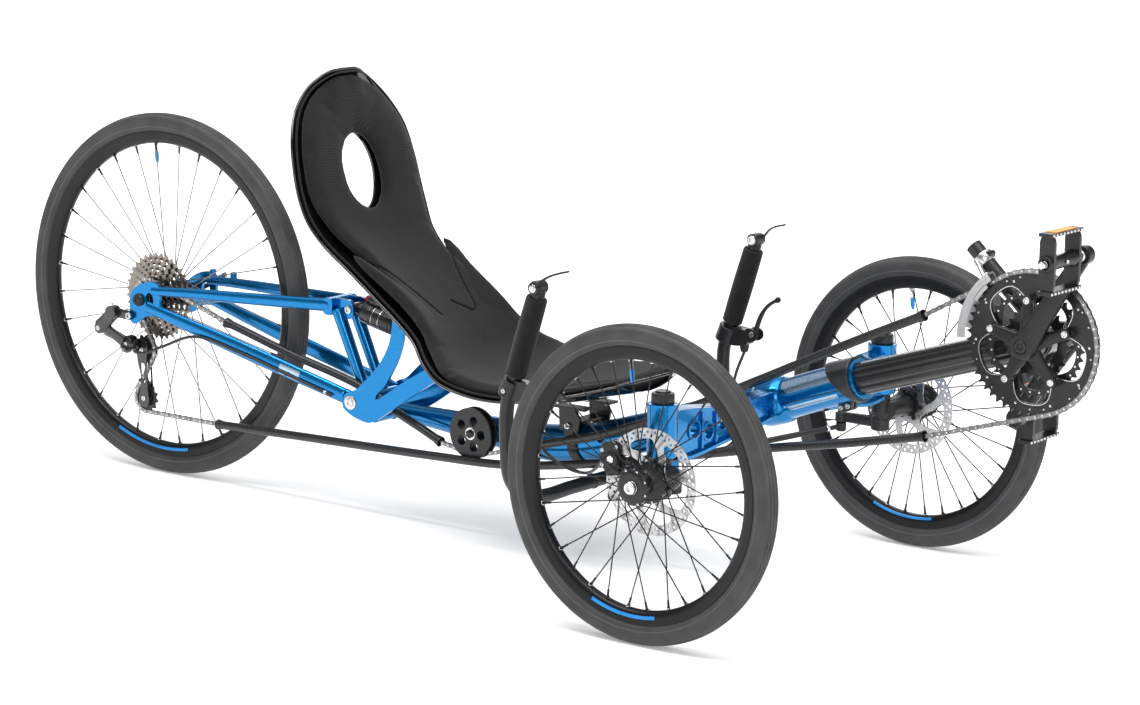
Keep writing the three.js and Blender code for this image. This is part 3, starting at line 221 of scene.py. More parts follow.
BLUE = paint_of("blue_lacquer", (0.0005, 0.115, 0.31), (0.001, 0.25, 0.62))
# Pale blue for the main tube's decal panels and for the painted highlights on the lower stays.
PALE_BLUE = paint_of("pale_decal_and_highlight", (0.36, 0.52, 0.74), (0.50, 0.68, 0.88))
BRIGHT_BLUE = finish_of("bright_blue_accent", (0.01, 0.24, 0.66), 0.35, 0.1)
ANODISED = finish_of("black_anodised", (0.018, 0.018, 0.019), 0.22, 0.1, 0.15, 20, 600, 0.01, 0.00001, 0.03,
                     coat=0.3, specular=0.35)
SATIN = finish_of("satin_black_metal", (0.014, 0.014, 0.015), 0.38, 0.4, 0.25, 40, 700, 0.2, 0.0001, 0.08,
                  coat=0.15)
CRANK_BLACK = finish_of("forged_black", (0.012, 0.012, 0.013), 0.3, 0.2, 0.2, 30, 800, 0.1, 0.00005, 0.06,
                        specular=0.4)
DARK_GREY = finish_of("dark_grey_clamp", (0.05, 0.05, 0.054), 0.36, 0.6, 0.2, 30, 700, 0.15, 0.0001, 0.06)
RIM_BLACK = finish_of("rim_black", (0.008, 0.008, 0.009), 0.3, 0.2, 0.2, 30, 800, 0.1, 0.00005, 0.06,
                      specular=0.3)
SILVER = finish_of("polished_alloy", (0.60, 0.60, 0.61), 0.22, 1.0, 0.08, 60, 900, 0.04, 0.00003, 0.05)
BRUSHED = finish_of("brushed_steel", (0.44, 0.44, 0.45), 0.27, 1.0, 0.1, 60, 260, 0.1, 0.00003, 0.08,
                    stretch=(1, 30, 1))
CHANGER_BLACK = finish_of("changer_black", (0.01, 0.01, 0.011), 0.2, 0.3, 0.2, 40, 700, 0.05, 0.00003, 0.06,
                          coat=0.8)
CAGE_ALLOY = finish_of("cage_alloy", (0.46, 0.46, 0.47), 0.32, 0.9, 0.05, 20, 300, 0.0, 0.00001, 0.03)
SPROCKET_STEEL = finish_of("sprocket_steel", (0.25, 0.225, 0.20), 0.3, 1.0, 0.2, 60, 500, 0.08, 0.00003, 0.08)
CHAIN_STEEL = finish_of("chain_steel", (0.26, 0.255, 0.25), 0.34, 1.0, 0.25, 90, 900, 0.2, 0.00005, 0.1)
SPOKE_BLACK = finish_of("spoke_black", (0.015, 0.015, 0.016), 0.35, 0.6)
SPOKE_STEEL = finish_of("spoke_steel", (0.32, 0.32, 0.33), 0.32, 1.0, 0.15)
RUBBER = finish_of("tyre_rubber", (0.042, 0.042, 0.043), 0.62, 0, 0.25, 22, 900, 0.3, 0.00015, 0.1,
                   specular=0.4)
TREAD = finish_of("tread_rubber", (0.055, 0.055, 0.056), 0.72, 0, 0.3, 26, 1100, 0.45, 0.0002, 0.1,
                  specular=0.35)
SIDE_LINE = finish_of("sidewall_line", (0.07, 0.07, 0.072), 0.6, 0, 0.2, 60)
PANEL_LINE = finish_of("dark_line", (0.01, 0.012, 0.03), 0.3, 0.1, 0.2, 80, coat=0.8)
FOAM = finish_of("grip_foam", (0.01, 0.01, 0.01), 0.93, 0, 0.3, 60, 1500, 0.7, 0.0005, 0.05,
                 sheen=0.15, specular=0.2)
PLASTIC = finish_of("black_plastic", (0.013, 0.013, 0.014), 0.42, 0, 0.2, 40, 1200, 0.35, 0.0001, 0.08)
TUBE_PLASTIC = finish_of("guide_tube_plastic", (0.016, 0.016, 0.017), 0.3, 0, 0.25, 25, 500, 0.15, 0.0001,
    0.08)
CABLE_SKIN = finish_of("cable_skin", (0.012, 0.012, 0.012), 0.4, 0, 0.2, 40, 1500, 0.2, 0.0001, 0.06)
GLOSS = finish_of("gloss_composite", (0.005, 0.005, 0.006), 0.1, 0, 0.3, 18, 400, 0.04, 0.0001, 0.04,
    coat=1.0)
AMBER = finish_of("amber_lens", (0.80, 0.25, 0.01), 0.4, 0, 0.1, 300, 900, 0.2, 0.0002, 0.05, specular=0.3)
RED = finish_of("red_anodised", (0.45, 0.01, 0.01), 0.3, 0.7)
CLOTH = textile_of("seat_textile", (0.005, 0.005, 0.005), (0.021, 0.021, 0.021))


# ------------------------------------------------------------------ shapes
class Shape:
    """Vertices in millimetres, and faces that each have a material number."""

    def __init__(self):
        self.verts, self.faces, self.mats = [], [], []

    def add(self, part, mat=0):
        verts, faces = part
        start = len(self.verts)
        self.verts += [tuple(float(c) for c in v) for v in verts]
        self.faces += [tuple(start + i for i in f) for f in faces]
        self.mats += [mat] * len(faces) if isinstance(mat, int) else list(mat)
        return self


def unit(v):
    v = np.array(v, float)
    return v / np.linalg.norm(v)


def circle(radius, sides=16, centre=(0, 0)):
    turns = [TAU * i / sides for i in range(sides)]
    return [(centre[0] + radius * math.cos(a), centre[1] + radius * math.sin(a)) for a in turns]


def chamfered(bore, radius, low, high, cut, cut_along=None):
    """A bush's profile for turn: its outer edges are cut back by cut, or by cut_along lengthwise."""
    along = cut if cut_along is None else cut_along
    inner = radius - cut
    edges = [(inner, low), (radius, low + along), (radius, high - along), (inner, high)]
    return [(bore, low), *edges, (bore, high)]


def disc(at, axis, radius, height, sides):
    return turn([(0, 0), (radius, 0), (radius, height), (0, height)], at, axis, sides)


def rounded(width, height, corner, steps=4):
    """A rectangle's outline with round corners, centred on the origin."""
    out = []
    for cx, cy, start in ((1, 1, 0), (-1, 1, 1), (-1, -1, 2), (1, -1, 3)):
        for i in range(steps + 1):
            a = (start + i / steps) * TAU / 4
            ox, oy = cx * (width / 2 - corner), cy * (height / 2 - corner)
            out.append((ox + corner * math.cos(a), oy + corner * math.sin(a)))
    return out


def frames(points, ref=None, closed=False):
    """The direction, sideways and upward vectors at each point of a path."""
    p = np.array(points, float)
    if closed:
        t = np.roll(p, -1, 0) - np.roll(p, 1, 0)
    else:
        t = np.gradient(p, axis=0)
    t /= np.linalg.norm(t, axis=1, keepdims=True)
    side = np.array(ref if ref is not None else (Y if abs(t[0][1]) < 0.9 else Z), float)
    out = []
    for d in t:
        if ref is not None:
            side = np.array(ref, float)
        side = unit(side - d * (side @ d))
        out.append((d, side, np.cross(d, side)))
    return p, out


def loft(rings, closed=False, caps=True):
    count = len(rings[0])
    verts = [v for r in rings for v in r]
    faces = []
    last = len(rings) if closed else len(rings) - 1
    for r in range(last):
        a0, b0 = r * count, ((r + 1) % len(rings)) * count
        for i in range(count):
            j = (i + 1) % count
            faces.append((a0 + i, a0 + j, b0 + j, b0 + i))
    if caps and not closed:
        faces.append(tuple(range(count))[::-1])
        faces.append(tuple(range((len(rings) - 1) * count, len(rings) * count)))
    return verts, faces


def sweep(points, section, scales=None, ref=None, closed=False, caps=True):
    """A section pushed along a path. scales is one number, or (sideways, upward), for each point."""
    p, basis = frames(points, ref, closed)
    rings = []
    for i, (centre, (_, side, up)) in enumerate(zip(p, basis)):
        s = 1 if scales is None else scales[i]
        sa, sb = s if isinstance(s, tuple) else (s, s)
        rings.append([centre + side * a * sa + up * b * sb for a, b in section])
    return loft(rings, closed, caps)


def rod(a, b, radius, end_radius=None, sides=16):
    scales = [1, (end_radius or radius) / radius]
    return sweep([a, b], circle(radius, sides), scales)


def curve(points, count, closed=False):
    """Evenly spaced points on a centripetal Catmull-Rom curve."""
    p = [np.array(q, float) for q in points]
    ends = [p[-1], p[0], p[1]] if closed else [2 * p[0] - p[1], None, 2 * p[-1] - p[-2]]
    whole = [ends[0], *p, *(ends[1:] if closed else [ends[2]])]
    fine = []
    for a, b, c, d in zip(whole, whole[1:], whole[2:], whole[3:]):
        gaps = [max(1e-4, np.linalg.norm(v - u) ** 0.5) for u, v in ((a, b), (b, c), (c, d))]
        m1 = ((b - a) / gaps[0] - (c - a) / (gaps[0] + gaps[1]) + (c - b) / gaps[1]) * gaps[1]
        m2 = ((c - b) / gaps[1] - (d - b) / (gaps[1] + gaps[2]) + (d - c) / gaps[2]) * gaps[1]
        for i in range(16):
            t = i / 16
            start_part = (2 * t**3 - 3 * t**2 + 1) * b + (t**3 - 2 * t**2 + t) * m1
            fine.append(start_part + (3 * t**2 - 2 * t**3) * c + (t**3 - t**2) * m2)
    fine.append(fine[0] if closed else p[-1])
    fine = np.array(fine)
    walked = np.concatenate([[0], np.cumsum(np.linalg.norm(np.diff(fine, axis=0), axis=1))])
    wanted = np.linspace(0, walked[-1], count + 1 if closed else count)
    found = np.stack([np.interp(wanted, walked, fine[:, k]) for k in range(fine.shape[1])], 1)
    return found[:-1] if closed else found


def smooth_outline(points, count=60):
    return [tuple(p) for p in curve(points, count, closed=True)]


def turn(profile, origin=(0, 0, 0), axis=Y, steps=48, ring=False):
    """A solid of revolution. profile is [(radius, along)], closed on itself if ring is true."""
    d = unit(axis)
    side = unit(np.cross(d, Z if abs(d[2]) < 0.9 else X))
    up = np.cross(side, d)
    origin = np.array(origin, float)
    verts, rows = [], []
    for r, along in profile:
        if r < 1e-6:
            rows.append([len(verts)] * steps)
            verts.append(origin + d * along)
            continue
        rows.append(list(range(len(verts), len(verts) + steps)))
        for i in range(steps):
            a = TAU * (i + 0.5) / steps
            verts.append(origin + d * along + (side * math.cos(a) + up * math.sin(a)) * r)
    if ring:
        rows.append(rows[0])
    faces = []
    for low, high in zip(rows, rows[1:]):
        for i in range(steps):
            j = (i + 1) % steps
            face = []
            for k in (low[i], low[j], high[j], high[i]):
                if k not in face:
                    face.append(k)
            if len(face) > 2:
                faces.append(tuple(face))
    return verts, faces


def prism(outline, start, end, holes=(), plane="xz"):
    """A flat plate between two depths, with holes. plane names the outline's two axes."""
    loops = [list(outline), *[list(h) for h in holes]]
    flat = [q for loop in loops for q in loop]
    count = len(flat)
    if holes:
        caps = tessellate_polygon([[Vector((a, b, 0)) for a, b in loop] for loop in loops])
    else:
        caps = [tuple(range(count))]
    order = {"xz": (0, 2, 1), "yz": (2, 0, 1), "xy": (0, 1, 2)}[plane]
    verts = [tuple((a, b, depth)[k] for k in order) for depth in (start, end) for a, b in flat]
    faces = [tuple(f) for f in caps] + [tuple(count + i for i in reversed(f)) for f in caps]
    first = 0
    for loop in loops:
        for i in range(len(loop)):
            j = (i + 1) % len(loop)
            faces.append((first + i, first + j, count + first + j, count + first + i))
        first += len(loop)
    return verts, faces


def block(low, high):
    (x0, y0, z0), (x1, y1, z1) = low, high
    return prism([(x0, z0), (x1, z0), (x1, z1), (x0, z1)], y0, y1)


def bolt(at, direction, radius=5, height=4, sides=24):
    """A socket-head bolt: a bevelled head with a recess. at is the middle of the face it stands on."""
    r = radius
    head = [(0, 0), (r, 0), (r, height * 0.8), (r * 0.85, height), (r * 0.5, height)]
    return turn([*head, (r * 0.48, height * 0.3), (0, height * 0.3)], at, direction, sides)


def hexagon(at, direction, radius, height):
    nut = [(0, 0), (radius, 0), (radius, height * 0.75), (radius * 0.8, height), (0, height)]
    return turn(nut, at, direction, 6)


def around(centre, radius, angle, y):
    return np.array((centre[0] + radius * math.cos(angle), y, centre[1] + radius * math.sin(angle)))


def mesh_object(name, points, faces, materials=(), mats=()):
    """An object from points in millimetres, whose faces all look outwards."""
    points[:, 0] += SHIFT
    mesh = bpy.data.meshes.new(name)
    mesh.from_pydata((points * MM).tolist(), [], faces)
    for material in materials:
        mesh.materials.append(material)
    if materials:
        mesh.polygons.foreach_set("material_index", mats)
    work = bmesh.new()
    work.from_mesh(mesh)
    bmesh.ops.recalc_face_normals(work, faces=work.faces)
    work.to_mesh(mesh)
    work.free()
    return link_object(name, mesh)


def piece(name, shape, materials, body, replaces, slot, bevel=0.0, at=(0, 0, 0), mirror=False, angle=38):
    """Turns a shape into an object that rides on a body, when one is given.

    mirror puts it on the other side."""
    points = np.array(shape.verts, float) + np.array(at, float)
    if mirror:
        points[:, 1] *= -1
    obj = mesh_object(name, points, shape.faces, materials, shape.mats)
    mesh = obj.data
    mesh.polygons.foreach_set("use_smooth", [True] * len(mesh.polygons))
    mesh.set_sharp_from_angle(angle=math.radians(angle))
    if bevel:
        modifier = obj.modifiers.new("edges", "BEVEL")
        modifier.width = bevel * MM
        modifier.segments = 2
        modifier.limit_method = "ANGLE"
        modifier.angle_limit = math.radians(38)
    if body:
        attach(obj, body)
    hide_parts(replaces)
    return obj


def both_sides(name, shape, materials, body, replaces, slot, **options):
    """A right-hand piece and its mirror image; body and replaces are stems that take _right or _left."""
    for side in ("_right", "_left"):
        host_body = body if body in frame["bodies"] else body + side
        mirror = side == "_left"
        piece(name + side, shape, materials, host_body, replaces + side, slot, mirror=mirror, **options)


# ------------------------------------------------------------------ wheels
TRACK = 382
FRONT_R, REAR_R = 236.5, 313.5
FRONT_AXLE = (0, -TRACK, FRONT_R)
REAR_AXLE = (-1280, 0, REAR_R)
RIM_DEPTH, BED_DEPTH = 52.3, 31.3
SPOKES = 32
LEAN = math.radians(48)
ACCENT_SPAN = math.radians(17)
TREAD_GROOVES = (3.4, 9.0)


def both_halves(half):
    """A profile and its reflection, which share the last point."""
    return half + [(r, -y) for r, y in reversed(half[:-1])]


def tyre_shape(radius, steps):
    """A slick with four tread grooves, a raised line on each sidewall and slits round the shoulders."""
    half = [(-33.6, 9.6), (-31, 10.7), (-29.5, 12.6), (-26, 14.8), (-20, 16.5), (-13, 17), (-8, 15.9)]
    half += [(-4.4, 13), (-1.8, 8.6), (-0.45, 4.2), (0, 0)]
    profile, mats = [], []
    for depth, y in curve(both_halves(half), 110):
        groove = min(abs(abs(y) - at) for at in TREAD_GROOVES)
        if depth > -6 and groove < 0.55:
            depth -= 1.3
        raised = abs(depth + 22.5) < 0.9
        profile.append((radius + depth, y + math.copysign(0.5, y) * raised))
        mats.append(1 if depth > -5 else 2 if raised else 0)
    shape = Shape()
    shape.add(turn(profile, (0, 0, 0), Y, steps, ring=True), [m for m in mats for _ in range(steps)])
    slits = 84
    for i in range(slits):
        for side in (-1, 1):
            a = TAU * (i + (0.5 if side > 0 else 0)) / slits
            start = around((0, 0), radius - 3.6, a, side * 11.2)
            end = around((0, 0), radius - 10.2, a + 0.022, side * 15.7)
            shape.add(sweep([start, end], circle(0.8, 6), [1, 0.5]), 1)
    return shape


def rim_shape(radius, steps=180):
    outer, inner = radius - BED_DEPTH, radius - RIM_DEPTH
    half = [(outer - 2.5, 7), (outer - 1.2, 10.2), (outer - 0.2, 10.6), (outer - 0.2, 11.5),
            (outer - 3, 11.5)]
    half += [(outer - 4, 11.2), (outer - 9, 10.9), (outer - 14, 9.8), (outer - 18, 7.8), (inner + 0.8, 4.5)]
    profile = both_halves([*half, (inner, 0)])
    mats = []
    for r, _ in profile:
        for j in range(steps):
            off = abs(math.remainder(TAU * (j + 1) / steps + TAU / 4 + 0.12, TAU))
            mats.append(1 if 10.9 < outer - r < 16.0 and off < ACCENT_SPAN else 0)
    shape = Shape()
    shape.add(turn(profile, (0, 0, 0), Y, steps, ring=True), mats)
    for i in range(SPOKES):
        hole = around((0, 0), inner + 0.9, TAU * (i + 0.5) / SPOKES, 0)
        shape.add(turn([(1.9, -2.2), (3.4, -2.0), (3.4, -0.6), (1.9, 0)], hole, unit(hole), 14, ring=True), 2)
    return shape


def spoke_set(radius, flanges, gauge=1.0):
    """Spokes with elbows and nipples. flanges is [(radius, y)] for even and odd spokes."""
    shape = Shape()
    inner = radius - RIM_DEPTH
    for i in range(SPOKES):
        a = TAU * (i + 0.5) / SPOKES
        hole_radius, y = flanges[i % 2]
        root = around((0, 0), hole_radius, a + LEAN * (1 if i % 2 else -1), y)
        tip = around((0, 0), inner - 0.4, a, math.copysign(2, y))
        along = unit(tip - root)
        out = np.array(Y) * math.copysign(1, y) * (1 if (i // 2) % 2 else -1)
        head = root + 2.6 * out
        shape.add(sweep([head + 0.8 * out, head], circle(1.9, 10)), 1)
        elbow = curve([head, root + along * 0.6 + out, root + along * 3.5, tip - along * 12], 7)
        shape.add(sweep(elbow, circle(gauge, 8)))
        shape.add(rod(tip - along * 13, tip - along * 2, 1.7, 1.9, 8), 2)
        shape.add(rod(tip - along * 2.6, tip + along * 0.2, 2.6, 2.6, 8), 2)
    return shape


def valve_shape(radius):
    """A threaded stem in the rim with a bright cap."""
    shape = Shape()
    foot = around((0, 0), radius - RIM_DEPTH - 0.3, math.radians(96), 0)
    inward = -unit(foot)
    shape.add(turn([(0, 0), (4.2, 0), (4.2, 2.2), (3.4, 2.8), (0, 2.8)], foot, inward, 16))
    threads = [(0, 2)]
    for k in range(10):
        threads += [(2.9, 2.8 + k * 1.3), (2.5, 3.4 + k * 1.3)]
    shape.add(turn([*threads, (2.4, 16), (0, 16)], foot, inward, 14))
    shape.add(turn([(0, 15), (3.2, 15), (3.6, 17), (3.6, 26), (2.2, 33), (0, 34)], foot, inward, 14), 1)
    return shape


def front_hub_shape():
    """The profile runs from the outer cap, away from the rider, to the rotor's seat."""
    profile = [(10.5, -21.6), (15, -22), (21, -22), (24.5, -20.5), (27, -18.6), (27, -15.4), (25.5, -14.4)]
    profile += [(18.5, -12), (17, -9), (16.2, 0), (17, 10), (22, 15), (29.5, 17.6), (31, 18.4), (31, 21.4)]
    profile += [(29.8, 22.2), (20.5, 22.8), (20, 25.4), (10.5, 25.5)]
    shape = Shape()
    shape.add(turn(profile, (0, 0, 0), Y, 64, ring=True))
    for i in range(SPOKES // 2):
        for r, y, start in ((25, -19.4, 0), (29, 22.6, 1)):
            at = around((0, 0), r - 0.4, TAU * (2 * i + 0.5 + start) / SPOKES, y)
            shape.add(turn([(0.9, 0), (1.8, 0), (1.8, 0.5), (0.9, 0.5)], at, Y, 10, ring=True))
    return shape


def cap_shape():
    """The axle's end bolt, seen in the middle of a front hub."""
    shape = Shape()
    face = [(0, 0), (8, 0), (9.4, 1.2), (9.6, 3.2), (8.2, 4.6), (4.2, 4.8), (4, 2), (0, 2)]
    shape.add(turn(face, (0, -23.4, 0), (0, -1, 0), 32))
    return shape


def rotor_shape():
    """A vented steel ring on six curved arms round a black carrier."""
    shape = Shape()
    turns = [TAU * i / 240 for i in range(240)]
    outer = [(a, 80 - (0.5 + 0.5 * math.cos(12 * a)) ** 3) for a in turns]
    rim = [(r * math.cos(a), r * math.sin(a)) for a, r in outer]
    windows = []
    for i in range(6):
        a = TAU * i / 6
        wide = [(31, 0.14), (44, 0.24), (56, 0.40), (63.5, 0.5), (64.5, 0.72), (64, 1.12), (57, 1.19)]
        wide += [(46, 0.99), (36, 0.82), (31, 0.66)]
        windows.append(smooth_outline([(r * math.cos(a + t), r * math.sin(a + t)) for r, t in wide], 36))
    vents = []
    for i in range(36):
        for r, t, size in ((69.2, 0.0, 2.3), (74.6, 0.5, 2.4)):
            a = TAU * (i + t) / 36
            vents.append(circle(size, 8, (r * math.cos(a), r * math.sin(a))))
    shape.add(prism(rim, 26.1, 27.9, [circle(14, 32), *windows, *vents]))
    for i in range(6):
        a = TAU * i / 6 + 0.95
        shape.add(bolt(around((0, 0), 22, a, 28), Y, 4, 2.2, 16), 1)
    shape.add(turn([(13, 27.9), (18, 28), (18, 29), (13, 29)], (0, 0, 0), Y, 40, ring=True), 1)
    return shape


def rear_hub_shape():
    profile = [(6.6, -22.3), (14, -22.5), (20, -22.3), (24, -20), (24, -16.4), (22, -15.2), (15.5, -12.6)]
    profile += [(13.5, -6), (12.6, 6), (13.5, 20), (17, 27), (23, 31), (24, 32), (24, 34.6), (22.6, 35.4)]
    profile += [(16, 38), (15, 42), (12.6, 60), (11, 62), (6.6, 62)]
    hub = Shape()
    hub.add(turn(profile, (0, 0, 0), Y, 56, ring=True))
    return hub


def wheel_parts():
    """Each row is a name, a shape, its materials, the CAD node it stands for, its slot and its bevel."""
    tyre, rim, valve = [RUBBER, TREAD, SIDE_LINE], [RIM_BLACK, BRIGHT_BLUE, SILVER], [SILVER, BRIGHT_BLUE]
    spokes = spoke_set(FRONT_R, [(25, -17), (29, 20)])
    for name, shape, materials, node, slot, bevel in (
        ("tyre_front", tyre_shape(FRONT_R, 144), tyre, "front_tyre", "tyre", 0),
        ("rim_front", rim_shape(FRONT_R), rim, "front_rim", "anodised", 0.3),
        ("hub_front", front_hub_shape(), [SATIN], "front_hub", "anodised", 0.3),
        ("spokes_front", spokes, [SPOKE_BLACK, SILVER, SATIN], "front_hub", "anodised", 0),
        ("valve_front", valve_shape(FRONT_R), valve, "front_rim", "bare_steel", 0),
    ):
        both_sides(name, shape, materials, "front_wheel", node, slot, at=FRONT_AXLE, bevel=bevel)
    both_sides("axle_cap", cap_shape(), [SILVER], "knuckle", "steering_knuckle", "bare_steel",
        at=FRONT_AXLE, bevel=0.3)
    both_sides("rotor", rotor_shape(), [BRUSHED, SATIN], "front_wheel", "brake_rotor", "bare_steel",
        at=FRONT_AXLE)
    spokes = spoke_set(REAR_R, [(22, -18), (22, 33)])
    for name, shape, materials, node, slot, bevel in (
        ("tyre_rear", tyre_shape(REAR_R, 180), tyre, "rear_tyre", "tyre", 0),
        ("rim_rear", rim_shape(REAR_R, 216), rim, "rear_rim", "anodised", 0.3),
        ("hub_rear", rear_hub_shape(), [SATIN], "rear_hub", "anodised", 0.3),
        ("spokes_rear", spokes, [SPOKE_STEEL, SILVER, SATIN], "rear_hub", "bare_steel", 0),
        ("valve_rear", valve_shape(REAR_R), valve, "rear_rim", "bare_steel", 0),
    ):
        piece(name, shape, materials, "rear_wheel", node, slot, at=REAR_AXLE, bevel=bevel)


wheel_parts()


# ------------------------------------------------------------------ main frame
def tapered(points, radii, sides=40, count=48):
    """A smooth round tube through points, whose radius changes smoothly from point to point."""
    rows = curve([(*p, r) for p, r in zip(points, radii)], count)
    return sweep(rows[:, :3], circle(1, sides), rows[:, 3], ref=Y)


def weld(centre, axis, radius, bead=1.5, steps=64):
    """A ring of small overlapping ripples, as a welder leaves."""
    d = unit(axis)
    side = unit(np.cross(d, Z if abs(d[2]) < 0.9 else X))
    up = np.cross(side, d)
    points, scales = [], []
    for i in range(steps):
        a = TAU * i / steps
        points.append(np.array(centre, float) + (side * math.cos(a) + up * math.sin(a)) * radius)
        scales.append(1 + 0.14 * math.cos(i * TAU / 4))
    return sweep(points, circle(bead, 8), scales, ref=d, closed=True)


MAIN_LINE = [(128, 0, 350), (60, 0, 325.5), (0, 0, 303), (-130, 0, 258), (-266, 0, 213), (-380, 0, 180),
             (-462, 0, 170)]
MAIN_LINE += [(-560, 0, 172.6), (-668, 0, 176.4), (-770, 0, 180)]
MAIN_RADII = [31, 31, 31, 31, 31, 30.6, 29.6, 24.6, 18.6, 13]
TUBE_R = 31
BOOM_AT = np.array((134.5, 0, 352.5))
BOOM_ALONG = unit((314.5, 0, 100.5))
BRACKET = (449, 0, 453)
POST_ALONG = np.array((-0.735, 0, 0.678))


def boom_point(distance, lift=0.0, y=0.0):
    up = np.array((-BOOM_ALONG[2], 0, BOOM_ALONG[0]))
    return BOOM_AT + BOOM_ALONG * distance + up * lift + np.array((0, y, 0))


def main_tube_parts():
    tube = Shape()
    tube.add(tapered(MAIN_LINE, MAIN_RADII, 48, 90))
    tube.add(rod(boom_point(-30), boom_point(-0.3), 31, 31, 48))
    tube.add(rod((-768, -61.6, 178), (-768, 61.6, 178), 10, 10, 32))
    tube.add(weld((-768, -13.5, 178), Y, 10.6, 1.4, 48))
    tube.add(weld((-768, 13.5, 178), Y, 10.6, 1.4, 48))
    tube.add(turn([(0, 0), (13, 0), (13, 30), (14.5, 33), (14.5, 38), (0, 38)], (-215, 0, 160), Z, 40))
    tube.add(weld((-215, 0, 199), Z, 14.5, 1.5, 52))
    boss = [(0, 0), (10.4, 0), (11, 1), (11, 14), (13, 17), (15, 25), (0, 25)]
    tube.add(turn(boss, (-573, -35, 176), Y, 40))
    piece("tube_main", tube, [BLUE], "frame", "main_tube", "frame_paint", bevel=0.4)
    hardware = Shape()
    hardware.add(hexagon((-573, -54.4, 176), (0, -1, 0), 7.4, 3.6))
    hardware.add(rod((-573, -56, 176), (-573, -34, 176), 4.6, 4.6, 20))
    for x, z in ((70, 298.6), (-52, 255.6), (-120, 231)):
        hardware.add(bolt((x, 0, z), (0.3, 0, -1), 5, 5))
    for y in (-1, 1):
        hardware.add(bolt((-330, y * 29.6, 196), (0, y, 0.2), 4.6, 3.6))
    piece("frame_hardware", hardware, [SATIN], "frame", "main_tube", "black_metal", bevel=0.3)
    panels()


PANEL_START = 8


def panels():
    """Pale unlettered panels laid on the main tube, with a darker line below each."""
    pale, line = Shape(), Shape()
    rows = curve([(*p, r) for p, r in zip(MAIN_LINE, MAIN_RADII)], 200)
    fine, basis = frames(rows[:, :3], Y)
    for side in (-1, 1):
        out = np.array((0, side, 0))
        for x1, a0, a1, target in ((121, 14, 58, pale), (112, -14, -11.5, line), (104, -36, -22, pale)):
            rings = []
            for at, (_, _, up) in zip(fine, basis):
                if not PANEL_START <= at[0] <= x1:
                    continue
                t = (at[0] - PANEL_START) / (x1 - PANEL_START)
                slant = 0.0 if target is line else 208 * max(0.0, 0.12 - t)
                up = up if up[2] > 0 else -up
                angles = np.radians(np.linspace(a0 + slant, a1, 10))
                ring = []
                for r, order in ((TUBE_R + 0.25, angles), (TUBE_R - 0.5, angles[::-1])):
                    ring += [at + (out * math.cos(a) + up * math.sin(a)) * r for a in order]
                rings.append(ring)
            target.add(loft(rings))
    piece("panel_pale", pale, [PALE_BLUE], "frame", "main_tube", "frame_paint")
    piece("panel_line", line, [PANEL_LINE], "frame", "main_tube", "frame_paint")


def boom_parts():
    """A fluted extrusion from the clamp to the bottom bracket, with the derailleur's post on top."""
    section = []
    flutes = [math.radians(b) for b in (-62, -26, 10, 46, 134, 170, 206, 242)]
    for i in range(360):
        a = TAU * i / 360
        off = min(abs(math.remainder(a - b, TAU)) for b in flutes)
        depth = 0.9 * (1 + math.cos(math.pi * min(1, off / 0.2)))
        section.append(((25 - depth) * math.cos(a), (25 - depth) * math.sin(a)))
    tube = Shape()
    tube.add(sweep([boom_point(d) for d in (0.8, 60, 120, 180, 240, 314)], section, ref=Y))
    piece("boom_tube", tube, [ANODISED], "frame", "boom", "anodised", angle=30)
    shell = Shape()
    ring = [(16.4, -31), (21, -31), (22, -30), (22, -27), (21.4, -26), (21.4, 26), (22, 27), (22, 30)]
    shell.add(turn([*ring, (21, 31), (16.4, 31)], BRACKET, Y, 56, ring=True))
    foot = np.array(BRACKET) + POST_ALONG * 18
    top = np.array(BRACKET) + POST_ALONG * 180
    shell.add(rod(foot, top - POST_ALONG * 1.5, 12, 12, 36))
    shell.add(turn([(0, -3), (12.2, -3), (12.2, -1), (10.5, 0), (0, 0)], top, POST_ALONG, 36), 1)
    shell.add(weld(np.array(BRACKET) + POST_ALONG * 22.5, POST_ALONG, 13, 1.5))
    shell.add(weld(boom_point(307), BOOM_ALONG, 24.6, 1.4, 90))
    for y in (-1, 1):
        cup = [(12.6, 0), (20, 0), (20.6, 1.5), (20.6, 5), (18, 6), (12.6, 6)]
        shell.add(turn(cup, (BRACKET[0], y * 31.2, BRACKET[2]), (0, y, 0), 48, ring=True), 1)
    piece("bracket_shell", shell, [ANODISED, SATIN], "frame", "boom", "anodised", bevel=0.3)


def clamp_parts():
    """A band whose rear edge slants, with two ears that a pair of bolts draws together below."""
    band = Shape()
    side = np.array(Y, float)
    up = np.cross(side, BOOM_ALONG)
    up = up if up[2] > 0 else -up
    rings = []
    for i in range(96):
        a = TAU * i / 96
        out = side * math.cos(a) + up * math.sin(a)
        back = -54 + 42 * (1 - math.sin(a)) / 2
        profile = [(31.4, back), (34, back), (35, back + 1), (35, -7), (34, -6), (31.4, -6)]
        rings.append([BOOM_AT + BOOM_ALONG * d + out * r for r, d in profile])
    band.add(loft(rings, closed=True))
    piece("clamp_band", band, [DARK_GREY], "frame", "boom_clamp", "anodised", bevel=0.4)
    ears = Shape()
    outline = [(109 + a, 309 + b + a * 0.3) for a, b in rounded(25, 20, 5)]
    for y in (-1, 1):
        ears.add(prism(outline, y * 2.2, y * 9))
    piece("clamp_ears", ears, [DARK_GREY], "frame", "boom_clamp", "anodised", bevel=1.0)
    bolts = Shape()
    for x, z in ((103, 305.5), (115, 309.5)):
        bolts.add(bolt((x, -9, z), (0, -1, 0), 4.4, 4))
        bolts.add(hexagon((x, 9, z), (0, 1, 0), 4.8, 3.4))
        bolts.add(rod((x, -9, z), (x, 9, z), 2.6, 2.6, 12))
    piece("clamp_bolts", bolts, [SILVER], "frame", "boom_clamp", "bare_steel", bevel=0.2)


main_tube_parts()
boom_parts()
clamp_parts()


